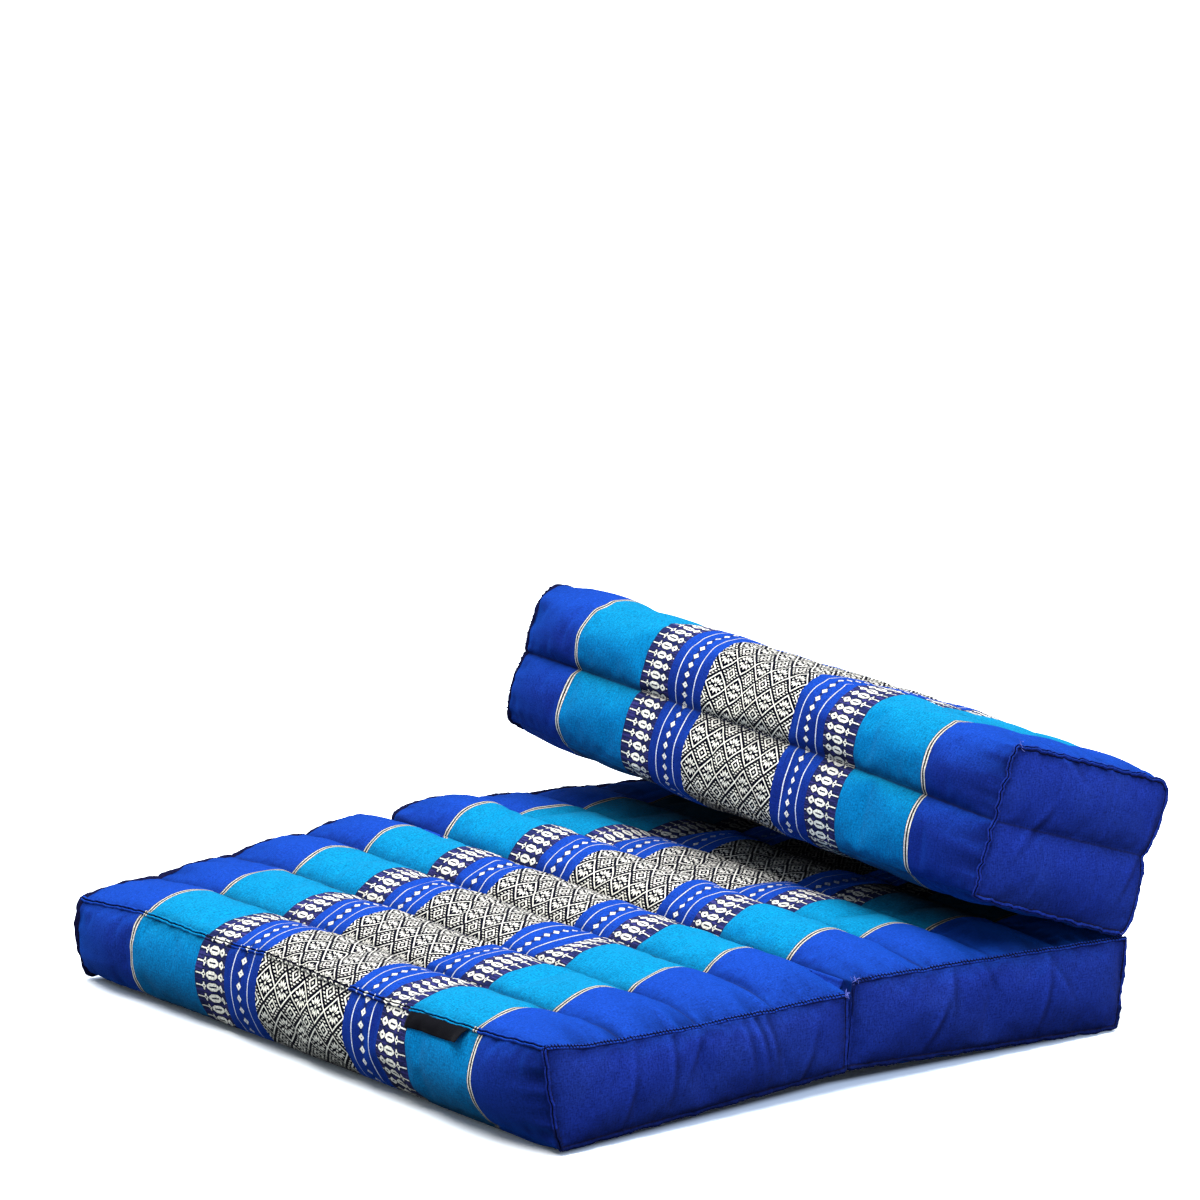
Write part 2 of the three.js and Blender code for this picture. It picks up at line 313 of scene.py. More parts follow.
def paintShadeAndThread(shade, colour):  # painted shade in the creases, by the seams, under the block and where it faces down, lighter where the shade attribute is below zero as on the fold ridges, with the thread that holds it
    paintedShade = shade.node("ShaderNodeAttribute", attribute_name="paintedShade", output=2)
    thread = shade.node("ShaderNodeAttribute", attribute_name="thread", output=2)
    # painted shade: darker where the cloth faces down
    below = (facing(shade) + 0.10).maths("MINIMUM", 0.0)
    depth = (1 - paintedShade * weave["paintedShade"]) * (1 + below * weave["below"])
    grey = shade.node("ShaderNodeCombineXYZ", [depth, depth, depth])
    colour = shade.blend(colour, grey, 1.0, "MULTIPLY")
    return shade.blend(colour, clothColours["outline"], (thread > 0.72) * weave["quilting"])


# threads, slubs and relief over a colour
def dressCloth(shade, colour, place, wear=weave["wear"], silky=None):
    split = shade.node("ShaderNodeSeparateXYZ", [place]).socket.node
    across, along = Wire(shade, split.outputs[0]), Wire(shade, split.outputs[1])
    warp = (across * (2 * math.pi / weave["thread"])).maths("SINE")
    weft = (along * (2 * math.pi / weave["thread"])).maths("SINE")
    threads = warp * weft
    slub = shade.noise(place, 1.0, 3, 0.6, stretch=(1.3, 0.10, 1))
    slubAcross = shade.noise(place, 1.0, 3, 0.6, stretch=(0.10, 1.3, 1))
    grain = shade.noise(place, 0.55, 3, 0.7)
    fade = shade.noise(place, 0.018, 3, 0.6)
    tone = (slub - 0.5) * toneShares["slub"] + (slubAcross - 0.5) * toneShares["slubAcross"]
    tone = tone + (grain - 0.5) * toneShares["grain"] + (fade - 0.5) * toneShares["fade"]
    tone = 1 + tone * wear + threads * toneShares["threads"]
    grey = shade.node("ShaderNodeCombineXYZ", [tone, tone, tone])
    colour = shade.blend(colour, grey, 1.0, "MULTIPLY")
    relief = threads * reliefShares["threads"] + slub * reliefShares["slub"]
    relief = relief + slubAcross * reliefShares["slubAcross"] + grain * reliefShares["grain"]
    bump = shade.node("ShaderNodeBump", {"Height": relief, "Strength": weave["strength"],
                                         "Distance": weave["depth"]})
    made = shade.finish(Base_Color=colour, Normal=bump, Roughness=weave["roughness"],
                        Specular_IOR_Level=weave["gloss"], Sheen_Weight=weave["sheen"],
                        Sheen_Roughness=weave["sheenRoughness"])
    if silky is None:
        return made
    satin = shade.node("ShaderNodeBsdfPrincipled", {
        "Base Color": colour, "Normal": bump, "Roughness": weave["roughness"],
        "Specular IOR Level": weave["gloss"], "Sheen Weight": satinSheen["weight"],
        "Sheen Roughness": satinSheen["roughness"], "Sheen Tint": satinSheen["tint"]})
    both = shade.node("ShaderNodeMixShader", {0: silky, 1: Wire(shade, shade.skin.outputs[0]), 2: satin})
    shade.tree.links.new(both.socket, shade.tree.nodes["Material Output"].inputs["Surface"])
    return made


# the royal blue of the end panels unless told otherwise, with painted light, lighter than on the front walls
# and again on tops, and painted shade
def plainCloth(name, colour=None, wear=weave["wear"]):
    shade = Shade(name)
    uv = shade.node("ShaderNodeUVMap", uv_map="cloth")
    place = shade.node("ShaderNodeVectorMath", [uv, (1000.0, 1000.0, 0.0)], operation="MULTIPLY")
    if colour is None:
        worn = shade.noise(place, 0.011, 4, 0.6)
        # painted light: the lighter end royal, and its copy for the tops
        royal = paintedTopLight(shade, "royalEndLit", "royalUp")
        dusty = shade.blend(royal, clothColours["dusty"], (worn - 0.45) * 0.6)
        colour = paintShadeAndThread(shade, dusty)
    return dressCloth(shade, colour, place, wear)


patternCloth = wovenCloth()
royalCloth = plainCloth("royal blue cloth")
# the serged edge is the dark thread of the left ends and also painted shade in the seams' grooves; the lower
# edge cloth is painted shade
sergedEdgeAndGrooveShade = plainCloth("dark serged edge and groove shade", (0.005, 0.006, 0.035))
seamShadeCloth = plainCloth("painted shade lower edge", (0.004, 0.010, 0.080))
print("cloth ready")

# pads

halfWidth = 360.0
cushion = {"middleDepth": 5.25, "endFade": 70.0, "scallop": (0.42, 0.12), "lobePower": 0.6, "endBulge": 7.0,
           "fullBulge": 10.0, "contactHalfWidth": 310.0, "bunching": 0.55, "dipReach": 50.0,
           "softFrom": 285.0, "softRun": 60.0, "creaseShade": 9, "edgeShade": 7,
           "evenHalfWidth": 280.0, "evenColumns": 93, "endColumns": 21}
filling = {"pressure": 4.0, "frames": 20, "quality": 5, "cap": 7.0, "bending": 0.25, "ease": -0.012,
           "lumps": 0.07, "lumpLength": 190.0, "start": 0.80, "cut": 0.88}

# In millimetres. Three or more values in a row run evenly from the left end to the right.
# edges: depth and height of each long edge. channels: crest and the crease after it.
# sag: place along the width and lift. endDip: share of the side and how far the right end seam sinks.
# folds on the right end: depth, height, length, slope and rise.
# cloth: shift, stretch and phase of the pattern at the start and the end of each channel.
frontMat = {
    "name": "mat_front", "seed": 3,
    "edges": {"frontBottom": ((-351, 4), (-341, 6), (-329, 7)),
              "frontTop": ((-361, 80), (-351, 90), (-346, 98)),
              "rearTop": ((-18, 104), (-15, 99), (-11, 97)),
              "rearBottom": ((-12, 18), (-11, 20), (-12.5, 22))},
    "channels": {"front": [((29, 23, 16.5, 19, 19.5, 23.5, 25), 0)],
                 "top": [((12, 13, 13, 13, 12.5, 12, 11), 1), ((14, 15, 18, 16, 18, 16, 14), 4),
                         ((22, 22, 23, 21, 19.5, 19.5, 18), 7), ((27, 27, 28.5, 27, 25.5, 24, 27), 0)],
                 "rear": [(5, 0)]},
    "sag": {"frontTop": [(-360, 0), (-256, 5), (-154, 1.5), (-110, 1.6), (-60, 3.5), (75, -2.4), (130, -3.2),
                         (268, -1.5), (360, 2.8)]},
    "steps": {"front": 18, "top": 64, "rear": 18, "bottom": 64},
    "roundFront": 26, "flatFrom": -314, "flatTo": -130,
    "endDip": {"top": [(0, 0), (0.14, 6), (0.45, 8.5), (0.8, 8), (1, 7)], "rear": [(0, 7), (1, 0)]},
    "folds": [(-262, 45, 40, 0.2, 1.2), (-117, 72, 34, -0.25, 2.0), (-104, 66, 30, -0.2, 1.7),
              (-130, 62, 26, -0.15, 1.4), (-62, 40, 40, 0.3, 1.1), (-216, 62, 36, 0.08, 1.6),
              (-190, 70, 25, 0.5, 0.9)],
    "firmEdges": {"frontTop": 1.0, "rearTop": 0.6, "rearBottom": 0.6, "frontBottom": 0.0},
    "cloth": {"front": [((6.0, 6.0), (1.0, 1.015), (-1.8, 9.3))],
              "top": [((4.0, 2.5), (1.039, 1.033), (0.5, 0.5)), ((2.5, 1.0), (1.033, 1.027), (-10, -10)),
                      ((1.0, -0.5), (1.027, 1.021), (10.5, 10.5)), ((-0.5, -2.0), (1.021, 1.015), (-2, -2))]},
    "skew": 0.02,
}
backMat = {
    "name": "mat_back", "seed": 5,
    "edges": {"frontBottom": ((-2, 18), (-2, 20), (-9, 23)), "frontTop": ((2, 105), (2, 99), (-1.5, 101)),
              "rearTop": ((332, 91), (333, 91), (322, 88)), "rearBottom": ((322, 4), (323, 5), (311, 4))},
    "channels": {"front": [(3, 0)], "top": [((33, 32, 32, 30, 28, 25, 20), 8), (19, 6), (13, 3), (6, 0)],
                 "rear": [((15, 15, 8), 0)]},
    "steps": {"front": 18, "top": 64, "rear": 18, "bottom": 64},
    "roundRear": 24, "flatFrom": 120, "flatTo": 299,
    "folds": [(86, 48, 32, 0.5, 1.6), (104, 70, 24, 0.1, 1.3), (214, 50, 34, 0.25, 1.5),
              (236, 62, 26, -0.5, 1.1), (150, 75, 22, -0.4, 0.9)],
    "firmEdges": {"frontTop": 0.6, "rearTop": 1.0, "rearBottom": 0.0, "frontBottom": 0.6},
    "cloth": {"front": [((-6.0, -6.0), (0.993, 0.993), (0, 0))],
              "top": [((-6.0, -6.0), (0.993, 0.993), (-15.6, -15.6)), ((-6.0, -6.0), (0.993, 0.993), (3, 3)),
                      ((-6.0, -6.0), (0.993, 0.993), (0, 0)), ((-6.0, -6.0), (0.993, 0.993), (0, 0))]},
}
seatBlock = {
    "name": "seat_block", "seed": 8,
    "edges": {"frontBottom": ((142, 183), (133, 170), (139, 159)),
              "frontTop": ((194, 311), (187, 303), (187, 291)),
              "rearTop": ((380, 231), (377, 235), (369, 229)),
              "rearBottom": ((330, 101), (330, 100), (317, 93))},
    "channels": {"front": [((25, 23.5, 17.5, 17, 18, 19.5, 20), 9), ((28, 26.5, 18.5, 19, 21, 22.5, 23), 0)],
                 "top": [((15, 11, 9), 4), (10, 4), (9, 0)], "rear": [(12, (6, 6, -14)), (12, 0)],
                 "bottom": [(6, 3), (9, 4), (10, 0)]},
    "bow": {"front": 4.5}, "scallop": {"rear": (0.28, 0.45)},
    "soften": {-1: {"frontTop": 3, "rearTop": 3, "frontBottom": 2}, 1: {"rearTop": 3, "frontBottom": 1}},
    "steps": {"front": 24, "top": 48, "rear": 24, "bottom": 48},
    "firmEdges": {"frontTop": 0.0, "rearTop": 0.8, "rearBottom": 0.8, "frontBottom": 0.0},
    "quiltedEnd": True,
    "folds": [(205, 215, 30, 1.2, 1.2), (250, 262, 26, -0.6, 1.0), (318, 150, 24, 0.8, 1.3),
              (345, 190, 20, 0.4, 1.0)],
    "cloth": {"front": [((3.0, 3.0), (1.0, 1.0), (-64, -64)), ((3.0, 3.0), (1.0, 1.0), (-72.5, -79))],
              "top": [((3.0, 3.0), (1.0, 1.0), (-79, -79))]},
}
pads = [frontMat, backMat, seatBlock]
outlineOrder = [("front", "frontBottom", "frontTop"), ("top", "frontTop", "rearTop"),
                ("rear", "rearTop", "rearBottom"), ("bottom", "rearBottom", "frontBottom")]


def waves(places, seed, longest, amount, count=5):  # a smooth wandering value along a line
    rng = np.random.default_rng(seed)
    total = np.zeros_like(places, dtype=float)
    for octave in range(count):
        length = longest / 1.7 ** octave
        wave = np.sin(places * (2 * math.pi / length) + rng.uniform(0, 7))
        total += wave * rng.uniform(0.5, 1) / 1.35 ** octave
    return total * amount / 2


def drift(u, v, seed, size):  # a smooth wandering value over a surface, between about -1 and 1
    rng = np.random.default_rng(seed)
    table = rng.uniform(-1, 1, (97, 97))
    a, b = u / size, v / size
    i, j = np.floor(a).astype(int), np.floor(b).astype(int)
    s, t = a - i, b - j
    s, t = s * s * (3 - 2 * s), t * t * (3 - 2 * t)
    pick = lambda p, q: table[p % 97, q % 97]
    low = pick(i, j) * (1 - s) + pick(i + 1, j) * s
    high = pick(i, j + 1) * (1 - s) + pick(i + 1, j + 1) * s
    return low * (1 - t) + high * t


def alongWidth(values, xs):  # values at even places along the width, carried smoothly, or one for all
    values = values if hasattr(values, "__len__") else (values,) * 3
    if len(values) == 3:
        left, middle, right = values
        s = xs / halfWidth
        return left * s * (s - 1) / 2 + middle * (1 - s * s) + right * s * (s + 1) / 2
    place = np.clip((xs / halfWidth + 1) / 2, 0, 1) * (len(values) - 1)
    index = np.clip(np.floor(place).astype(int), 0, len(values) - 2)
    t = place - index
    line = np.concatenate([[2 * values[0] - values[1]], values, [2 * values[-1] - values[-2]]])
    a, b, c, d = (line[index + i] for i in range(4))
    return b + t * ((c - a) + t * ((2 * a - 5 * b + 4 * c - d) + t * (3 * b - 3 * c + d - a))) / 2


def eased(table, xs):  # a smooth line through the places of a short table
    places, values = np.array(table, float).T
    index = np.clip(np.searchsorted(places, xs) - 1, 0, len(places) - 2)
    t = np.clip((xs - places[index]) / (places[index + 1] - places[index]), 0, 1)
    return values[index] + (values[index + 1] - values[index]) * t * t * (3 - 2 * t)


def edgeLine(pad, name, xs):  # depth and height of a long edge
    depths, heights = zip(*pad["edges"][name])
    line = np.stack([alongWidth(depths, xs), alongWidth(heights, xs)], 1)
    if name in pad.get("sag", {}):
        line[:, 1] += eased(pad["sag"][name], xs)
    return line


def fullness(xs, scallops):
    reach = np.minimum(1, (halfWidth - np.abs(xs)) / cushion["endFade"])
    scallop = np.where(xs < 0, *scallops)
    return scallop + (1 - scallop) * (1 - (1 - reach) ** 2)


def channelHeight(channels, t, xs):
    place = t * len(channels)
    index = np.minimum(len(channels) - 1, np.floor(place + 1e-9).astype(int))
    u = np.clip(place - index, 0, 1)
    crests = np.stack([alongWidth(c[0], xs) + 0 * xs for c in channels], 1)[:, index]
    creases = np.stack([alongWidth(c[1], xs) + 0 * xs for c in [(0, 0)] + channels], 1)
    before, after = creases[:, index], creases[:, index + 1]
    base = before + (after - before) * u
    return base + (crests - (before + after) / 2) * (4 * u * (1 - u)) ** cushion["lobePower"]


def sideShares(pad, side):  # places along a side, closer together beside its creases
    count = len(pad["channels"].get(side, [0]))
    each = pad["steps"][side] // count
    u = np.arange(each) / each
    bunched = u + cushion["bunching"] * ((1 - np.cos(math.pi * u)) / 2 - u)
    return np.concatenate([(bunched + index) / count for index in range(count)])


def undersideHeights(pad, ys, low, high):
    heights = np.zeros_like(ys)
    front, rear = ys < pad["flatFrom"], ys > pad["flatTo"]
    frontRun = pad.get("roundFront") or (pad["flatFrom"] - low[:, :1])
    rearRun = pad.get("roundRear") or (high[:, :1] - pad["flatTo"])
    heights = np.where(front, low[:, 1:] * ((pad["flatFrom"] - ys) / frontRun) ** 2, heights)
    return np.where(rear, high[:, 1:] * ((ys - pad["flatTo"]) / rearRun) ** 2, heights)


def cornerPlaces(pad):
    f, t, r = pad["steps"]["front"], pad["steps"]["top"], pad["steps"]["rear"]
    return {"frontBottom": 0, "frontTop": f, "rearTop": f + t, "rearBottom": f + t + r}


def softenCorners(pad, xs, ring):  # rounds the corners of an end panel
    for sign, corners in pad.get("soften", {}).items():
        share = np.clip((xs * sign - cushion["softFrom"]) / cushion["softRun"], 0, 1)[:, None, None]
        for name, reach in corners.items():
            window = (cornerPlaces(pad)[name] + np.arange(-reach, reach + 1)) % ring.shape[1]
            t = np.linspace(0, 1, 2 * reach + 1)[None, :, None]
            first, middle, last = (ring[:, window[i]][:, None] for i in (0, reach, -1))
            round = first * (1 - t) ** 2 + middle * 2 * t * (1 - t) + last * t * t
            ring[:, window] = ring[:, window] * (1 - share) + round * share


def padRings(pad, xs, full=False):  # (places along the width, steps round the pad, xyz) in millimetres
    size = filling["cut"] if full else filling["start"]
    sides = []
    for number, (side, start, end) in enumerate(outlineOrder):
        a, b = edgeLine(pad, start, xs), edgeLine(pad, end, xs)
        t = sideShares(pad, side)
        run = b - a
        length = np.hypot(run[:, 0], run[:, 1])[:, None]
        bow = pad.get("bow", {}).get(side, 0) * (1 - (xs / halfWidth) ** 2)[:, None] / length
        points = a[:, None] + run[:, None] * (t[None] + bow * np.sin(math.pi * t)[None])[..., None]
        if side == "bottom" and "flatFrom" in pad:
            ys = points[:, :, 0]
            rest = undersideHeights(pad, ys, b, a)
            contact = cushion["contactHalfWidth"]
            lift = np.maximum(0, (np.abs(xs) - contact) / (halfWidth - contact))
            points[:, :, 1] = rest + (points[:, :, 1] - rest) * (lift ** 2)[:, None]
        else:
            out = np.stack([-run[:, 1], run[:, 0]], 1) / length
            scallops = pad.get("scallop", {}).get(side, cushion["scallop"])
            share = np.ones_like(xs) if full else fullness(xs, scallops)
            height = channelHeight(pad["channels"][side], t, xs) * share[:, None] * size
            index = np.floor(t * len(pad["channels"][side]) + 1e-9)
            seed = pad["seed"] * 50 + number * 10
            lump = np.stack([waves(xs, seed + int(i), filling["lumpLength"], 1) for i in index], 1)
            points += out[:, None] * (height * (1 + filling["lumps"] * lump))[..., None]
            if side in pad.get("endDip", {}):
                nearEnd = np.clip((xs - halfWidth) / cushion["dipReach"] + 1, 0, 1) ** 2
                points[:, :, 1] -= nearEnd[:, None] * eased(pad["endDip"][side], t)[None]
        sides.append(points)
    ring = np.concatenate(sides, 1)
    softenCorners(pad, xs, ring)
    return np.concatenate([np.broadcast_to(xs[:, None, None], ring.shape[:2] + (1,)), ring], 2)


def columnPlaces():  # across the width, closer together towards the end seams
    even = cushion["evenHalfWidth"]
    middle = np.linspace(-even, even, cushion["evenColumns"])
    end = np.linspace(even, halfWidth, cushion["endColumns"])[1:]
    return np.concatenate([-end[::-1], middle, end])


def endGrid(pad, count):  # ring indices along the four borders of an end panel, by row and column
    f, t, r = pad["steps"]["front"], pad["steps"]["top"], pad["steps"]["rear"]
    grid = -np.ones((f + 1, t + 1), int)
    grid[:, 0] = np.arange(f + 1)
    grid[f, :] = np.arange(f, f + t + 1)
    grid[:, t] = f + t + r - np.arange(f + 1)
    grid[0, :] = (count - np.arange(t + 1)) % count
    return grid


def endPanel(pad, border, sign, bulge):  # inner points of an end panel, stretched between its border
    grid = endGrid(pad, len(border))
    rows, columns = grid.shape
    v, u = np.meshgrid(np.linspace(0, 1, rows), np.linspace(0, 1, columns), indexing="ij")
    v, u = v[..., None], u[..., None]
    b = border[grid]
    flat = (b[:1] * (1 - v) + b[-1:] * v + b[:, :1] * (1 - u) + b[:, -1:] * u
            - b[:1, :1] * (1 - u) * (1 - v) - b[-1:, :1] * (1 - u) * v
            - b[:1, -1:] * u * (1 - v) - b[-1:, -1:] * u * v)
    dome = (16 * u * (1 - u) * v * (1 - v))[..., 0] ** 0.42
    if pad.get("quiltedEnd"):
        w = (2 * v[..., 0]) % 1
        dome = dome * (0.35 + 0.65 * (4 * w * (1 - w)) ** 0.5)
    flat[..., 0] += sign * bulge * dome
    return grid, flat


def laidOn(pad, part, j, b):  # shift, stretch or phase of the cloth on a step, carried across its channel
    corner, total = cornerPlaces(pad), np.zeros(j.shape)
    for side, begin, _ in outlineOrder:
        channels = pad["cloth"].get(side, pad["cloth"]["front"])
        each = pad["steps"][side] / len(channels)
        for number, channel in enumerate(channels):
            first = corner[begin] + number * each
            start, end = channel[part]
            here = (j >= first) & (j < first + each)
            total = np.where(here, start + (end - start) * (b - first) / each, total)
    return total


def clothPlaces(pad, x, arc, j, b):
    across = (x - laidOn(pad, 0, j, b)) * laidOn(pad, 1, j, b)
    onFront = (j >= cornerPlaces(pad)["frontBottom"]) & (j < cornerPlaces(pad)["frontTop"])
    return np.stack([across, arc - laidOn(pad, 2, j, b) + np.where(onFront, pad.get("skew", 0), 0) * x], -1)


def sewnLines(pad, ring):  # which steps round the pad are sewn, how sharp they are and where thread shows
    corner = pad["corner"]
    sewn, sharp, threads = np.zeros(ring, bool), np.zeros(ring), np.zeros(ring)
    for side, begin, _ in outlineOrder:
        count = len(pad["channels"].get(side, [0]))
        for index in range(1, count):
            spot = corner[begin] + pad["steps"][side] // count * index
            sewn[spot], sharp[spot], threads[spot] = True, 0.9, 1
    for name, spot in corner.items():
        sewn[spot], sharp[spot] = True, pad["firmEdges"][name]
    if "flatFrom" in pad:
        sewn[corner["rearBottom"]:] = True
    return sewn, sharp, threads


def mark(mesh, name, values, domain="POINT"):  # a number for each point or edge of a mesh
    layer = mesh.attributes.new(name, "FLOAT", domain)
    layer.data.foreach_set("value", values.astype(np.float32))


def buildPad(pad):
    xs = columnPlaces()
    rings, fullRings = padRings(pad, xs), padRings(pad, xs, full=True)
    columns, ring = rings.shape[:2]
    wrapCount = columns * ring
    k, j = np.meshgrid(np.arange(columns - 1), np.arange(ring), indexing="ij")
    j2 = (j + 1) % ring
    wrapFaces = np.stack([k * ring + j, (k + 1) * ring + j, (k + 1) * ring + j2, k * ring + j2], -1)
    wrapFaces = wrapFaces.reshape(-1, 4)
    middle = rings[columns // 2]
    steps = np.linalg.norm(np.roll(middle, -1, 0) - middle, axis=1)
    arc = np.concatenate([[0], np.cumsum(steps)]) - np.cumsum(steps)[pad["steps"]["front"] - 1]
    wrapUv = np.stack([clothPlaces(pad, xs[a], arc[b], j, b)
                       for a, b in ((k, j), (k + 1, j), (k + 1, j + 1), (k, j + 1))], 2).reshape(-1, 4, 2)
    pad.update(rings=rings, xs=xs, corner=cornerPlaces(pad), arc=arc)
    sewn, sharp, threads = sewnLines(pad, ring)
    pins = np.tile(sewn, columns)
    pins[:ring] = pins[-ring:] = True

    points, restPoints, pinned = [rings.reshape(-1, 3)], [fullRings.reshape(-1, 3)], [pins]
    faces, uvs, kinds = [wrapFaces], [wrapUv], [np.zeros(len(wrapFaces), int)]
    places = [np.stack([np.repeat(xs, ring), np.tile(arc[:-1], columns), np.zeros(wrapCount)], 1)]
    paintedShades, quilting = [np.zeros(wrapCount)], [np.tile(threads, columns)]
    first = wrapCount
    for sign, column in ((-1, 0), (1, columns - 1)):
        grid, flat = endPanel(pad, rings[column], sign, cushion["endBulge"])
        _, fullFlat = endPanel(pad, fullRings[column], sign, cushion["fullBulge"])
        index = grid + column * ring
        inner = np.zeros(grid.shape, bool)
        inner[1:-1, 1:-1] = True
        index[inner] = first + np.arange(inner.sum())
        first += inner.sum()
        points.append(flat[inner])
        restPoints.append(fullFlat[inner])
        quad = np.stack([index[:-1, :-1], index[:-1, 1:], index[1:, 1:], index[1:, :-1]], -1).reshape(-1, 4)
        uv = flat[..., 1:]
        quadUv = np.stack([uv[:-1, :-1], uv[:-1, 1:], uv[1:, 1:], uv[1:, :-1]], 2).reshape(-1, 4, 2)
        if sign < 0:
            quad, quadUv = quad[:, ::-1], quadUv[:, ::-1]
        faces.append(quad)
        uvs.append(quadUv)
        kinds.append(np.ones(len(quad), int))
        places.append(np.concatenate([flat[inner][:, 1:], np.full((inner.sum(), 1), float(sign))], 1))
        quiltRow = pad["steps"]["front"] // 2
        hold = np.zeros(grid.shape, bool)
        if pad.get("quiltedEnd"):
            hold[quiltRow, :] = True
        quilting.append(hold[inner].astype(float))
        pinned.append(hold[inner])
        # painted shade along the end panel's border and its quilting row
        near = np.linalg.norm(flat[inner][:, None, 1:] - rings[column][None, :, 1:], axis=2).min(1)
        away = np.abs(np.nonzero(inner)[0] - quiltRow) if pad.get("quiltedEnd") else 99
        edgeShade = np.exp(-(near / cushion["edgeShade"]) ** 1.3)
        paintedShades.append(np.maximum(edgeShade, 0.8 * np.exp(-(away / 1.6) ** 2)))

    start, rest = np.concatenate(points), np.concatenate(restPoints)
    start[:, 1] -= cushion["middleDepth"]
    rest[:, 1] -= cushion["middleDepth"]
    mesh = bpy.data.meshes.new(pad["name"] + "_pad")
    mesh.from_pydata((start * mm).tolist(), [], np.concatenate(faces).tolist())
    layer = mesh.uv_layers.new(name="cloth")
    layer.uv.foreach_set("vector", (np.concatenate(uvs) * mm).ravel())
    mesh.polygons.foreach_set("material_index", np.concatenate(kinds))
    mesh.polygons.foreach_set("use_smooth", np.ones(len(mesh.polygons), bool))
    place = mesh.attributes.new("place", "FLOAT_VECTOR", "POINT")
    place.data.foreach_set("vector", np.concatenate(places).ravel())
    for material in (patternCloth, royalCloth):
        mesh.materials.append(material)

    edges = np.zeros(len(mesh.edges) * 2, int)
    mesh.edges.foreach_get("vertices", edges)
    a, b = edges.reshape(-1, 2).T
    ka, ja, kb, jb = a // ring, a % ring, b // ring, b % ring
    inWrap = (a < wrapCount) & (b < wrapCount)
    crease = np.where(inWrap & (ja == jb), sharp[ja % ring], 0.0)
    crease = np.where(inWrap & (ka == kb) & ((ka == 0) | (ka == columns - 1)), 1.0, crease)
    mark(mesh, "paintedShade", np.concatenate(paintedShades))
    mark(mesh, "thread", np.concatenate(quilting))
    mark(mesh, "crease_edge", crease, "EDGE")
    mesh.update()
    thing = bpy.data.objects.new(pad["name"] + "_pad", mesh)
    scene.collection.objects.link(thing)
    holding = thing.vertex_groups.new(name="sewn")
    holding.add(np.nonzero(np.concatenate(pinned))[0].tolist(), 1.0, "REPLACE")
    pad.update(thing=thing, start=start * mm, rest=rest * mm)


def fillPads():  # pressure swells the cloth between its seams
    for pad in pads:
        thing = pad["thing"]
        thing.shape_key_add(name="sewn shape")
        loose = thing.shape_key_add(name="cut cloth")
        loose.data.foreach_set("co", pad["rest"].ravel())
        loose.value = 0
        cloth = thing.modifiers.new("cloth", "CLOTH")
        settings = cloth.settings
        settings.vertex_group_mass = "sewn"
        settings.rest_shape_key = loose
        settings.use_pressure = True
        settings.uniform_pressure_force = filling["pressure"]
        settings.shrink_min = filling["ease"]
        settings.bending_stiffness = filling["bending"]
        settings.quality = filling["quality"]
        settings.effector_weights.gravity = 0
        cloth.point_cache.frame_end = filling["frames"]
    for number in range(1, filling["frames"] + 1):
        scene.frame_set(number)
    graph = bpy.context.evaluated_depsgraph_get()
    for pad in pads:
        settled = pad["thing"].evaluated_get(graph).data
        points = np.zeros(len(settled.vertices) * 3)
        settled.vertices.foreach_get("co", points)
        pad["settled"] = points.reshape(-1, 3)
    scene.frame_set(1)


def finishPad(pad):  # caps the swelling, rounds the mesh once and adds the gathers
    thing = pad["thing"]
    move = pad.get("settled", pad["start"]) - pad["start"]
    far = np.linalg.norm(move, axis=1, keepdims=True)
    cap = filling["cap"] * mm
    points = pad["start"] + move * np.minimum(1, cap / np.maximum(far, 1e-9))
    thing.shape_key_clear()
    thing.modifiers.clear()
    thing.data.vertices.foreach_set("co", points.ravel())
    thing.data.update()
    smooth = thing.modifiers.new("round", "SUBSURF")
    smooth.levels = smooth.render_levels = 1
    smooth.boundary_smooth = "PRESERVE_CORNERS"
    graph = bpy.context.evaluated_depsgraph_get()
    mesh = bpy.data.meshes.new_from_object(thing.evaluated_get(graph), depsgraph=graph)
    mesh.name = pad["name"] + "_cushion"
    piece = bpy.data.objects.new(pad["name"] + "_cushion", mesh)
    scene.collection.objects.link(piece)
    bpy.data.objects.remove(thing)
    gather(pad, mesh)
    pad["piece"] = piece
    return piece


# some of these size the painted shade in the valleys of the puckers and near the ends, and its range; one
# makes the block's end panels lighter
gathers = {"reach": 24, "coarse": (10, 2.8), "fine": (5, 1.0), "valley": 0.4, "seamReach": 11,
           "lumps": (46, 0.5), "endLumps": (26, 0.35), "endShade": 9, "wideShade": 42, "lighterBlockEnds": 0.4,
           "shades": (-0.6, 1.8)}
blockShadow = {"from": 150, "lean": 0.07, "run": 80, "above": 60, "shade": 1.75}  # painted shadow of the block on the back mat
# the shade and light entries place painted shade beside each fold and a painted highlight on it
foldShape = {"half": 4.5, "valleyAt": 9, "valleyHalf": 6, "shadeAt": 6, "shadeHalf": 4, "lightHalf": 3}


def bell(away, half):
    return np.exp(-(away / half) ** 2)


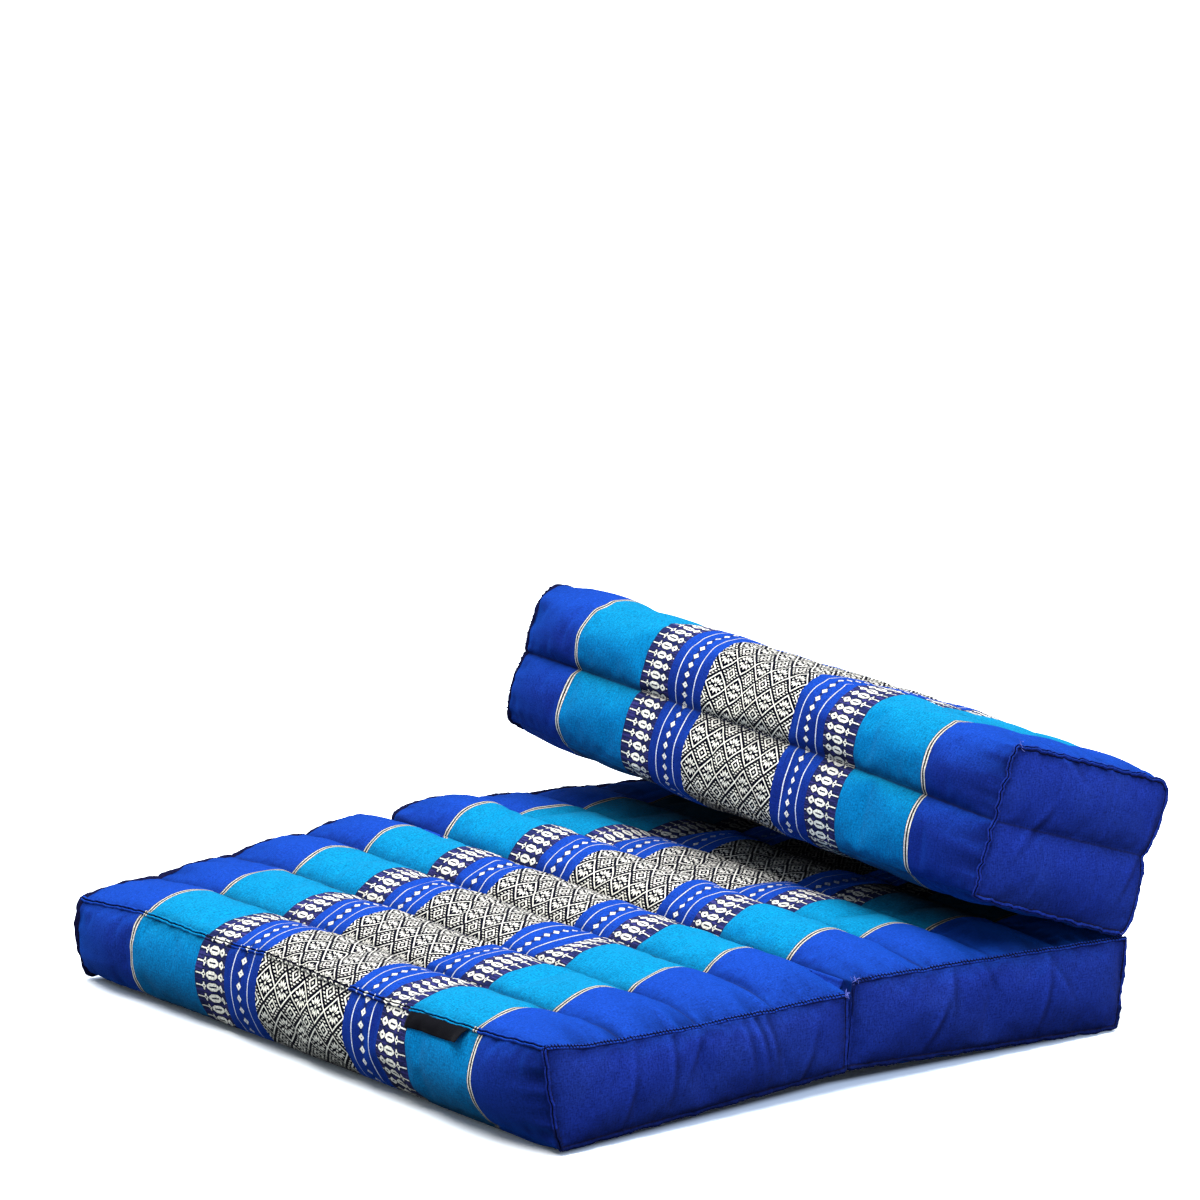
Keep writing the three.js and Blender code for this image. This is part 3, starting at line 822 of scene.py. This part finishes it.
def gather(pad, mesh):  # small puckers that run away from every seam, and the painted shade and painted highlight written into the shade attribute
    count = len(mesh.vertices)
    points, normals, place = (np.zeros(count * 3) for _ in range(3))
    mesh.vertices.foreach_get("co", points)
    mesh.vertex_normals.foreach_get("vector", normals)
    mesh.attributes["place"].data.foreach_get("vector", place)
    points, normals, place = (a.reshape(-1, 3) for a in (points, normals, place))
    wrap = np.abs(place[:, 2]) < 0.5
    u, v = place[:, 0], place[:, 1]
    seed = pad["seed"]

    # on the cloth that goes round the pad
    toEnd = np.maximum(0, halfWidth - np.abs(u))
    near = np.exp(-toEnd / gathers["reach"]) * np.minimum(1, toEnd / 3)
    (coarse, much), (fine, little) = gathers["coarse"], gathers["fine"]
    puckers = drift(v, u * 0.15, seed, coarse) * much + drift(v, u * 0.1, seed + 1, fine) * little
    height = near * puckers
    # painted shade in the valleys of the puckers
    valleys = near * np.clip(-puckers, 0, 2) * gathers["valley"]
    for line, amount in pad["seamLines"]:
        off = np.abs(v - line)
        near = np.exp(-off / gathers["seamReach"]) * np.minimum(1, off / 2.5)
        wrinkles = drift(u, v * 0.12, seed + 2, coarse) + 0.5 * drift(u, v * 0.1, seed + 3, fine)
        height += near * amount * wrinkles
    size, amount = gathers["lumps"]
    height += drift(u, v, seed + 4, size) * amount
    # painted shade near the end seams, fainter and wider further in, and beside every crease
    paintedShade = np.exp(-(toEnd / gathers["endShade"]) ** 1.3) * (0.75 + 0.25 * drift(v, u * 0.1, seed, 6))
    wide = 0.5 * np.exp(-toEnd / gathers["wideShade"]) * (1 + 0.5 * drift(v, u * 0.1, seed + 7, 12))
    paintedShade = np.maximum(paintedShade, wide)
    for line, reach in pad["creaseLines"]:
        paintedShade = np.maximum(paintedShade, np.exp(-(np.abs(v - line) / reach) ** 1.3))
    paintedShade = paintedShade + valleys
    # painted shadow of the block on the back mat
    if pad is backMat:
        shadowUnderBlock = (points[:, 1] / mm - blockShadow["from"] + u * blockShadow["lean"]) / blockShadow["run"]
        shadowUnderBlock = np.clip(shadowUnderBlock, 0, 1) * (points[:, 2] > blockShadow["above"] * mm)
        paintedShade = np.maximum(paintedShade, shadowUnderBlock ** 1.5 * blockShadow["shade"])

    # on the end panels, where u and v are depth and height
    table = mesh.attributes["paintedShade"].data
    ends = np.zeros(count)
    table.foreach_get("value", ends)
    size, amount = gathers["endLumps"]
    folds = drift(u, v * 0.25, seed + 6, size) * amount
    for y, z, length, slope, rise in pad["folds"]:
        along = ((u - y) * slope + (v - z)) / math.hypot(slope, 1)
        aside = ((u - y) - (v - z) * slope) / math.hypot(slope, 1)
        reach = rise * bell(along, length) * (place[:, 2] > 0.5)
        folds += reach * (bell(aside, foldShape["half"])
                          - 0.5 * bell(aside - foldShape["valleyAt"], foldShape["valleyHalf"]))
        # painted shade beside each fold and a painted highlight along its ridge
        ends = ends + reach * (0.55 * bell(aside - foldShape["shadeAt"], foldShape["shadeHalf"])
                               - 0.45 * bell(aside, foldShape["lightHalf"]))
    # the block's end panels are made lighter all over
    if pad is seatBlock:
        ends -= gathers["lighterBlockEnds"]
    table.foreach_set("value", np.clip(np.where(wrap, paintedShade, ends), *gathers["shades"]).astype(np.float32))
    points += normals * (np.where(wrap, height, folds) * mm)[:, None]
    mesh.vertices.foreach_set("co", points.ravel())
    mesh.update()


for pad in pads:
    buildPad(pad)
    arc, corner = pad["arc"], pad["corner"]
    channels = len(pad["channels"]["top"])
    step = pad["steps"]["top"] // channels
    pad["seamLines"] = [(arc[corner["frontTop"]], 0.7 if pad is not seatBlock else 0.0)]
    pad["seamLines"] += [(arc[corner["frontTop"] + step * i], 0.5) for i in range(1, channels)]
    # firm edges and creases get painted shade beside them
    firm = [name for name in corner if pad["firmEdges"][name] > 0]
    pad["creaseLines"] = [(arc[corner[name]], cushion["edgeShade"]) for name in firm]
    for side, begin, _ in outlineOrder:
        count = len(pad["channels"].get(side, [0]))
        step = pad["steps"][side] // count
        creases = [corner[begin] + step * i for i in range(1, count)]
        pad["creaseLines"] += [(arc[spot], cushion["creaseShade"]) for spot in creases]
fillPads()
for pad in pads:
    piece = finishPad(pad)
    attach(piece, "root")
    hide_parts(pad["name"])
print("pads ready")

# seams

seamProfile = [(-1.1, -0.7), (-1.05, 0.2), (-0.85, 0.8), (-0.52, 1.0), (-0.25, 0.72), (-0.15, -0.05),
               (0.15, -0.05), (0.25, 0.72), (0.52, 1.0), (0.85, 0.8), (1.05, 0.2), (1.1, -0.7)]
# half width, height and sway of the end seams of every pad along their four sides, in millimetres
endSeams = {
    "mat_front": {"right": {"front": (2.3, 2.6, 1.5), "top": (2.2, 0.9, 0.6), "rear": (2.0, 2.7, 1.0),
                            "bottom": (2.3, 2.8, 0.9)},
                  "left": {"front": (1.8, 3.8, 0.7), "top": (1.5, 2.6, 0.4), "rear": (1.6, 4.0, 0.8),
                           "bottom": (1.6, 1.0, 0.4)}},
    "mat_back": {"right": {"front": (1.5, 1.4, 0.6), "top": (2.2, 0.9, 0.6), "rear": (1.8, 3.0, 1.6),
                           "bottom": (2.3, 2.8, 0.9)},
                 "left": {"front": (1.6, 3.4, 0.8), "top": (1.5, 2.6, 0.4), "rear": (1.8, 4.5, 1.0),
                          "bottom": (1.6, 1.0, 0.4)}},
    "seat_block": {"right": {"front": (2.2, 2.8, 2.3), "top": (2.2, 2.6, 2.0), "rear": (1.8, 3.2, 1.6),
                             "bottom": (2.2, 2.8, 1.9)},
                   "left": {"front": (1.5, 2.2, 0.5), "top": (1.6, 2.4, 0.6), "rear": (1.7, 3.2, 0.9),
                            "bottom": (1.8, 3.0, 0.8)}},
}
topSeam = {"halfWidth": 2.6, "height": 2.5, "sway": 0.8, "spacing": 3.0}
endLean, stitchSlant = 0.85, 0.35  # how far the end seams face the end, and stitches lie along them
underEdge = {"below": 26.0, "hingeAt": 1.0, "hingeHalf": 11.0}  # painted shade: the right end's seam is painted dark below this height and beside the hinge


def resample(points, spacing, *others, loop=False):  # even places along a line, with what goes with them
    if loop:
        points = np.concatenate([points, points[:1]])
        others = [np.concatenate([o, o[:1]]) for o in others]
    run = np.concatenate([[0], np.cumsum(np.linalg.norm(np.diff(points, axis=0), axis=1))])
    count = max(2, int(round(run[-1] / spacing)))
    places = np.linspace(0, run[-1], count + 1)[:count if loop else None]
    tables = [np.asarray(table, float).T for table in (points, *others)]
    return places, *[np.stack([np.interp(places, run, column) for column in table], 1) for table in tables]


def unit(vectors):
    return vectors / np.maximum(1e-9, np.linalg.norm(vectors, axis=-1, keepdims=True))


def newPiece(name, points, faces, materials, kinds=None, uv=None, smooth=True):  # points in millimetres
    mesh = bpy.data.meshes.new(name)
    mesh.from_pydata((np.asarray(points) * mm).tolist(), [], [list(map(int, face)) for face in faces])
    for material in materials:
        mesh.materials.append(material)
    if kinds is not None:
        mesh.polygons.foreach_set("material_index", kinds)
    if uv is not None:
        layer = mesh.uv_layers.new(name="cloth")
        index = np.zeros(len(mesh.loops), int)
        mesh.loops.foreach_get("vertex_index", index)
        layer.uv.foreach_set("vector", (np.asarray(uv)[index] * mm).ravel())
    mesh.polygons.foreach_set("use_smooth", np.full(len(mesh.polygons), smooth))
    mesh.update()
    thing = bpy.data.objects.new(name, mesh)
    scene.collection.objects.link(thing)
    return thing


# sizes holds half width, height and sway at every place
def seamRoll(name, points, outward, sizes, materials, seed=1, loop=False, uvStart=None):
    run, points, outward, sizes = resample(points, topSeam["spacing"], outward, sizes, loop=loop)
    if loop:
        ahead, behind = np.roll(points, -1, 0), np.roll(points, 1, 0)
    else:
        ahead, behind = np.concatenate([points[1:], points[-1:]]), np.concatenate([points[:1], points[:-1]])
    along = unit(ahead - behind)
    outward = unit(outward - along * (outward * along).sum(1, keepdims=True))
    aside = np.cross(along, outward)
    half, height, sway = sizes.T
    swing = waves(run, seed, 34, 1.0, 4) * sway
    height = height * (1 + 0.42 * waves(run, seed + 1, 41, 1.0, 5))
    across, up = np.array(seamProfile).T
    sideways = across[None] * half[:, None] + swing[:, None] * (up[None] > 0)
    place = (points[:, None] + aside[:, None] * sideways[..., None]
             + outward[:, None] * (up[None] * height[:, None])[..., None])
    count, wide = len(points), len(seamProfile)
    i, j = np.meshgrid(np.arange(count if loop else count - 1), np.arange(wide - 1), indexing="ij")
    i2 = (i + 1) % count
    faces = np.stack([i * wide + j, i * wide + j + 1, i2 * wide + j + 1, i2 * wide + j], -1).reshape(-1, 4)
    # painted shade: the groove between the ridges and both feet take the dark second material
    grooveShade = ((abs(j - (wide // 2 - 1)) < 2) | (j == 0) | (j == wide - 2)).ravel().astype(int)
    if uvStart is None:
        uv = np.stack(np.broadcast_arrays(run[:, None], across[None] * 3), -1).reshape(-1, 2)
    else:
        uv = uvStart(points, across)
    return newPiece(name, place.reshape(-1, 3), faces, materials, grooveShade, uv)


def shown(point):  # from the pad tables' millimetres to the frame's
    return point - np.array([0, cushion["middleDepth"], 0])


def awayFrom(middle, line, along, sign):  # out of the pad and towards its end, along an end seam
    radial = np.stack([np.zeros(len(line)), -along[:, 2], along[:, 1]], 1)
    radial *= np.sign((radial * (line - middle)).sum(1))[:, None]
    return unit(radial + np.array([endLean * sign, 0, 0]))


def endSeam(pad, side, sign):
    column = 0 if sign < 0 else -1
    ring = shown(pad["rings"][column])
    following, before = np.roll(ring, -1, 0), np.roll(ring, 1, 0)
    along = unit(following - before)
    outward = awayFrom(ring.mean(0), ring, along, sign)
    table = endSeams[pad["name"]][side]
    sizes = np.concatenate([np.tile(table[name], (pad["steps"][name], 1)) for name, _, _ in outlineOrder])
    for _ in range(3):
        sizes = (np.roll(sizes, 1, 0) + sizes * 2 + np.roll(sizes, -1, 0)) / 4
    materials = [sergedEdgeAndGrooveShade, sergedEdgeAndGrooveShade] if sign < 0 else [royalCloth, sergedEdgeAndGrooveShade, seamShadeCloth]
    name, seed = f"{pad['name']}_seam_{side}", pad["seed"] + sign
    piece = seamRoll(name, ring, outward, sizes, materials, seed=seed, loop=True)
    # painted shade: the right end seam's faces low down, and beside the hinge on the back mat, take the dark
    # lower edge cloth
    if sign > 0 and pad is not seatBlock:
        for face in piece.data.polygons:
            low = face.center.z < underEdge["below"] * mm
            fromHinge = abs(face.center.y - underEdge["hingeAt"] * mm)
            atHinge = pad is backMat and fromHinge < underEdge["hingeHalf"] * mm
            if face.material_index == 0 and (low or atHinge):
                face.material_index = 2
    return piece


def stitchTree():  # stitches laid across a seam at even steps
    tree = bpy.data.node_groups.new("stitches", "GeometryNodeTree")
    plug = {}
    for name, kind in (("Seam", "Geometry"), ("Spacing", "Float"), ("Length", "Float"),
                       ("Thickness", "Float"), ("Seed", "Int"), ("Thread", "Material")):
        socket = tree.interface.new_socket(name, in_out="INPUT", socket_type="NodeSocket" + kind)
        plug[name] = socket.identifier
    tree.interface.new_socket("Stitches", in_out="OUTPUT", socket_type="NodeSocketGeometry")

    def node(kind, inputs=(), **settings):
        made = tree.nodes.new(kind)
        for name, value in settings.items():
            setattr(made, name, value)
        for key, value in dict(inputs).items():
            if isinstance(value, bpy.types.NodeSocket):
                tree.links.new(value, made.inputs[key])
            else:
                made.inputs[key].default_value = value
        return made

    given = node("NodeGroupInput").outputs
    curve = node("GeometryNodeMeshToCurve", {"Mesh": given["Seam"]}).outputs[0]
    curve = node("GeometryNodeResampleCurve", {"Curve": curve, "Length": given["Spacing"]}, mode="LENGTH")
    lay, outward = (node("GeometryNodeInputNamedAttribute", {"Name": name},
                         data_type="FLOAT_VECTOR").outputs[0] for name in ("lay", "outward"))
    turn = node("FunctionNodeAxesToRotation", {0: lay, 1: outward}, primary_axis="X", secondary_axis="Z")
    bead = node("GeometryNodeMeshUVSphere", {"Segments": 6, "Rings": 4, "Radius": 0.5}).outputs["Mesh"]
    size = node("ShaderNodeCombineXYZ", {0: given["Length"], 1: given["Thickness"], 2: given["Thickness"]})
    bead = node("GeometryNodeTransform", {"Geometry": bead, "Scale": size.outputs[0]}).outputs[0]
    vary = node("FunctionNodeRandomValue", {2: 0.75, 3: 1.2, "Seed": given["Seed"]}).outputs[1]
    laid = node("GeometryNodeInstanceOnPoints", {"Points": curve.outputs[0], "Instance": bead,
                                                 "Rotation": turn.outputs[0], "Scale": vary})
    real = node("GeometryNodeRealizeInstances", {0: laid.outputs[0]}).outputs[0]
    dyed = node("GeometryNodeSetMaterial", {"Geometry": real, "Material": given["Thread"]}).outputs[0]
    tree.links.new(dyed, node("NodeGroupOutput").inputs[0])
    return tree, plug


stitchNodes, stitchPlugs = stitchTree()


def stitchRow(name, points, outward, lay, spacing, length, thickness, material, seed=1):  # millimetres
    mesh = bpy.data.meshes.new(name + "_seam")
    mesh.from_pydata((points * mm).tolist(), [(i, i + 1) for i in range(len(points) - 1)], [])
    for key, table in (("outward", outward), ("lay", lay)):
        attribute = mesh.attributes.new(key, "FLOAT_VECTOR", "POINT")
        attribute.data.foreach_set("vector", np.asarray(table, np.float32).ravel())
    seam = bpy.data.objects.new(name + "_seam", mesh)
    scene.collection.objects.link(seam)
    sewing = seam.modifiers.new("sewing", "NODES")
    sewing.node_group = stitchNodes
    for key, value in (("Spacing", spacing * mm), ("Length", length * mm), ("Thickness", thickness * mm),
                       ("Seed", seed), ("Thread", material)):
        sewing[stitchPlugs[key]] = value
    graph = bpy.context.evaluated_depsgraph_get()
    made = bpy.data.meshes.new_from_object(seam.evaluated_get(graph), depsgraph=graph)
    bpy.data.objects.remove(seam)
    piece = bpy.data.objects.new(name, made)
    scene.collection.objects.link(piece)
    return piece


def overlock(pad, sign, side, rise, spacing, length, thickness):  # over one edge of an end seam
    ring = shown(pad["rings"][0 if sign < 0 else -1])
    begin = {name: corner for name, corner, _ in outlineOrder}[side]
    start = pad["corner"][begin]
    line = ring[start:start + pad["steps"][side] + 1]
    along = unit(np.gradient(line, axis=0))
    outward = awayFrom(ring.mean(0), line, along, sign)
    lay = unit(np.cross(along, outward) + along * stitchSlant)
    name = f"{pad['name']}_stitches_{side}_{sign + 1}"
    return stitchRow(name, line + outward * rise, outward, lay, spacing, length, thickness, threadShade,
                     seed=pad["seed"])


# end and side, then rise, spacing, length and thickness in millimetres
overlocked = [(frontMat, 1, "top", 1.3, 3.6, 5.0, 1.1), (backMat, 1, "top", 1.3, 3.6, 5.0, 1.1),
              (frontMat, -1, "top", 1.4, 3.0, 3.2, 0.9), (backMat, -1, "top", 1.4, 3.0, 3.2, 0.9),
              (seatBlock, -1, "front", 2.0, 5.5, 4.6, 1.5)]
threadShade = plainCloth("dark thread", (0.004, 0.005, 0.028), 0.05)
seams = [overlock(*stitched) for stitched in overlocked]
for pad in pads:
    seams += [endSeam(pad, "left", -1), endSeam(pad, "right", 1)]


# sizes in millimetres, and the random seed of each corner that has loose ends
looseEnds = {"count": 6, "spacing": 3.8, "length": 5.5, "thickness": 0.55, "spread": 2.0,
             "spot": (2.2, 0, 1.6),
             "corners": [(frontMat, "rearTop", 4), (backMat, "frontTop", 9), (seatBlock, "frontTop", 6),
                         (seatBlock, "rearBottom", 7)]}


def threadEnds(pad, where, seed):  # at a corner of the right end
    rng = np.random.default_rng(seed)
    size = (looseEnds["count"], 3)
    spot = shown(pad["rings"][-1])[pad["corner"][where]] + np.array(looseEnds["spot"])
    line = spot + rng.normal(0, looseEnds["spread"], size)
    outward = unit(rng.normal(0, 1, size) + [0.8, -0.4, 0.5])
    lay = unit(rng.normal(0, 1, size))
    name = f"{pad['name']}_thread_ends_{where}"
    return stitchRow(name, line, outward, lay, looseEnds["spacing"], looseEnds["length"],
                     looseEnds["thickness"], paleThread, seed=seed)


paleThread = plainCloth("lavender thread", (0.13, 0.15, 0.52), 0.05)
seams += [threadEnds(*loose) for loose in looseEnds["corners"]]

# raised seam between the front wall and the top of the front mat, of the same cloth
xs, corner = frontMat["xs"], frontMat["corner"]["frontTop"]
line = shown(frontMat["rings"][:, corner])
outward = np.tile([0.0, -0.75, 0.66], (len(line), 1))
sizes = np.tile([topSeam["halfWidth"], topSeam["height"], topSeam["sway"]], (len(line), 1))
laid = frontMat["cloth"]


def frontSeamUv(points, across):
    u = (points[:, 0] - laid["top"][0][0][0]) * laid["top"][0][1][0]
    return np.stack(np.broadcast_arrays(u[:, None], -across[None] * 3.5), -1).reshape(-1, 2)


seams.append(seamRoll("front_top_seam", line, outward, sizes, [patternCloth, sergedEdgeAndGrooveShade], seed=21,
                      uvStart=frontSeamUv))
for piece in seams:
    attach(piece, "root")
print("seams ready")

# hinge cloth and label

hinge = {"dip": 5.5, "thickness": 1.4, "reach": (-325.0, 344.0), "blockReach": (-340.0, 340.0),
         "columns": 170, "rows": 13, "blockRows": 11, "blockDrop": 22, "blockOut": 3.0, "blockBelly": 9.0}
label = {"from": 167.0, "to": 253.0, "drop": 17.5, "thickness": 0.8, "curl": 10.0, "curlFrom": 0.70,
         "curlRun": 0.30, "columns": 41, "rows": 11, "lift": 1.5, "belly": 1.2}


def clothStrip(name, rows, materials, thickness, replaced, shift=None):  # a grid of points, one sheet
    grid = np.asarray(rows, float)
    count, wide = grid.shape[:2]
    i, j = np.meshgrid(np.arange(count - 1), np.arange(wide - 1), indexing="ij")
    faces = np.stack([i * wide + j, (i + 1) * wide + j, (i + 1) * wide + j + 1, i * wide + j + 1], -1)
    length, width = (np.cumsum(np.concatenate([[0], np.linalg.norm(np.diff(line, axis=0), axis=1)]))
                     for line in (grid[:, wide // 2], grid[count // 2]))
    uv = np.stack(np.meshgrid(length, width, indexing="ij"), -1).reshape(-1, 2)
    if shift is not None:  # the woven pattern runs on over it
        uv[:, 0] = grid.reshape(-1, 3)[:, 0] - shift
    piece = newPiece(name, grid.reshape(-1, 3), faces.reshape(-1, 4), materials, uv=uv)
    shell = piece.modifiers.new("thickness", "SOLIDIFY")
    shell.thickness = thickness * mm
    shell.offset = 0
    if len(materials) > 1:
        shell.material_offset = 1
        shell.material_offset_rim = 0
    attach(piece, "root")
    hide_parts(replaced)
    return piece, (width[-1] * mm, length[-1] * mm)


def pointsAt(pad, name, places):  # a long edge of a pad at places along the width
    line = shown(pad["rings"][:, pad["corner"][name]])
    return np.stack([np.interp(places, pad["xs"], line[:, axis]) for axis in range(3)], 1)


def betweenMats():  # sewn to both top edges, it sags into the valley
    places = np.linspace(*hinge["reach"], hinge["columns"])
    near, far = pointsAt(frontMat, "rearTop", places), pointsAt(backMat, "frontTop", places)
    share = np.linspace(0, 1, hinge["rows"])
    rows = near[:, None] * (1 - share)[None, :, None] + far[:, None] * share[None, :, None]
    dip = hinge["dip"] * (4 * share * (1 - share)) ** 0.7
    rows[..., 2] -= dip[None] * (1 + 0.15 * waves(places, 61, 120, 1.0))[:, None] + 1.0
    rows[..., 2] += waves(places, 62, 16, 0.7)[:, None] * np.sin(math.pi * share)[None]
    return rows


def behindBlock():  # from the back mat's rear top edge up to the block's rear bottom edge
    places = np.linspace(*hinge["blockReach"], hinge["columns"])
    low, high = pointsAt(backMat, "rearTop", places), pointsAt(seatBlock, "rearBottom", places)
    low[:, 2] -= hinge["blockDrop"]
    share = np.linspace(0, 1, hinge["blockRows"])
    rows = low[:, None] * (1 - share)[None, :, None] + high[:, None] * share[None, :, None]
    out = hinge["blockOut"] + hinge["blockBelly"] * np.sin(math.pi * share)
    rows[..., 1] += out[None] * (1 + 0.2 * waves(places, 63, 70, 1.0))[:, None]
    return rows


def labelTab():  # caught in the front seam by its top edge, its right end curls outwards
    places = np.linspace(label["from"], label["to"], label["columns"])
    top = pointsAt(frontMat, "frontTop", places)
    s = (places - label["from"]) / (label["to"] - label["from"])
    mesh = frontMat["piece"].data
    wall = BVHTree.FromPolygons([v.co for v in mesh.vertices], [p.vertices for p in mesh.polygons])
    rows = np.repeat(top[:, None], label["rows"], 1)
    for i, share in enumerate(np.linspace(0, 1, label["rows"])):
        down = label["drop"] * share
        curl = np.clip((s - label["curlFrom"]) / label["curlRun"], 0, 1) ** 2
        curl = label["curl"] * curl * share ** 1.1
        for j, point in enumerate(top):
            guess = Vector((point - [0, 2 + down * 0.62, down * 0.72]) * mm)
            place, normal, _, _ = wall.find_nearest(guess)
            lift = label["lift"] + label["belly"] * math.sin(math.pi * share) + curl[j]
            rows[j, i] = np.array(place) * 1000 + np.array(normal) * lift
    return rows


labelCloth = plainCloth("black label tape", (0.004, 0.004, 0.006), 0.08)
liningCloth = plainCloth("lilac label back", (0.30, 0.28, 0.55), 0.08)
strip, flat = clothStrip("mat_hinge_cloth", betweenMats(), [patternCloth], hinge["thickness"],
                         "hinge_mats", shift=backMat["cloth"]["top"][-1][0][1])
strip, flat = clothStrip("block_hinge_cloth", behindBlock(), [royalCloth], hinge["thickness"],
                         "hinge_block")
strip, flat = clothStrip("bare_label", labelTab()[::-1], [labelCloth, liningCloth], label["thickness"],
                         "label_tab")
print("hinges and label ready")

# floor

# the glow starts this far out in millimetres, rises over the edge and goes on rising over the fade
floorLook = {"size": 60.0, "colour": (0.20, 0.215, 0.235), "seen": (0.93, 0.97, 1.0),
             "glow": (0.52, 0.66, 0.92), "beside": 325, "centre": 12, "lean": 0.08, "edge": 20, "most": 0.6,
             "fade": 220, "ahead": 342, "aheadCentre": 10, "aheadEdge": 75}

floorShade = Shade("pale floor")  # lit brighter to the camera than it throws back at the cushion
seen = floorShade.node("ShaderNodeLightPath")
floorColour = floorShade.blend(floorLook["colour"], floorLook["seen"], seen)
place = floorShade.node("ShaderNodeTexCoord", output=3)
split = floorShade.node("ShaderNodeSeparateXYZ", [place]).socket.node
acrossFloor, alongFloor = (Wire(floorShade, split.outputs[i]) * 1000 for i in (0, 1))
beside = abs(acrossFloor) - abs(alongFloor + floorLook["centre"]) * floorLook["lean"] - floorLook["beside"]
beyond = (beside * (1 / floorLook["edge"])).maths("MINIMUM", floorLook["most"])
beyond = beyond + (beside * (1 / floorLook["fade"])).maths("MAXIMUM", 0.0)
ahead = abs(alongFloor + floorLook["aheadCentre"]) - floorLook["ahead"]
beyond = beyond | ahead * (1 / floorLook["aheadEdge"])
glow = floorShade.blend((0, 0, 0), floorLook["glow"], beyond)
glow = floorShade.blend((0, 0, 0), glow, seen)  # pale light in the shadow round the mats, for the camera only
floorShade.finish(Base_Color=floorColour, Roughness=0.9, Specular_IOR_Level=0.1, Emission_Color=glow,
                  Emission_Strength=1.0)
size = floorLook["size"] / 2
floorMesh = bpy.data.meshes.new("floor")
floorCorners = [(-size, -size, 0), (size, -size, 0), (size, size, 0), (-size, size, 0)]
floorMesh.from_pydata(floorCorners, [], [(0, 1, 2, 3)])
floorMesh.materials.append(floorShade.material)
floor = bpy.data.objects.new("floor", floorMesh)
scene.collection.objects.link(floor)

print("whole object ready")
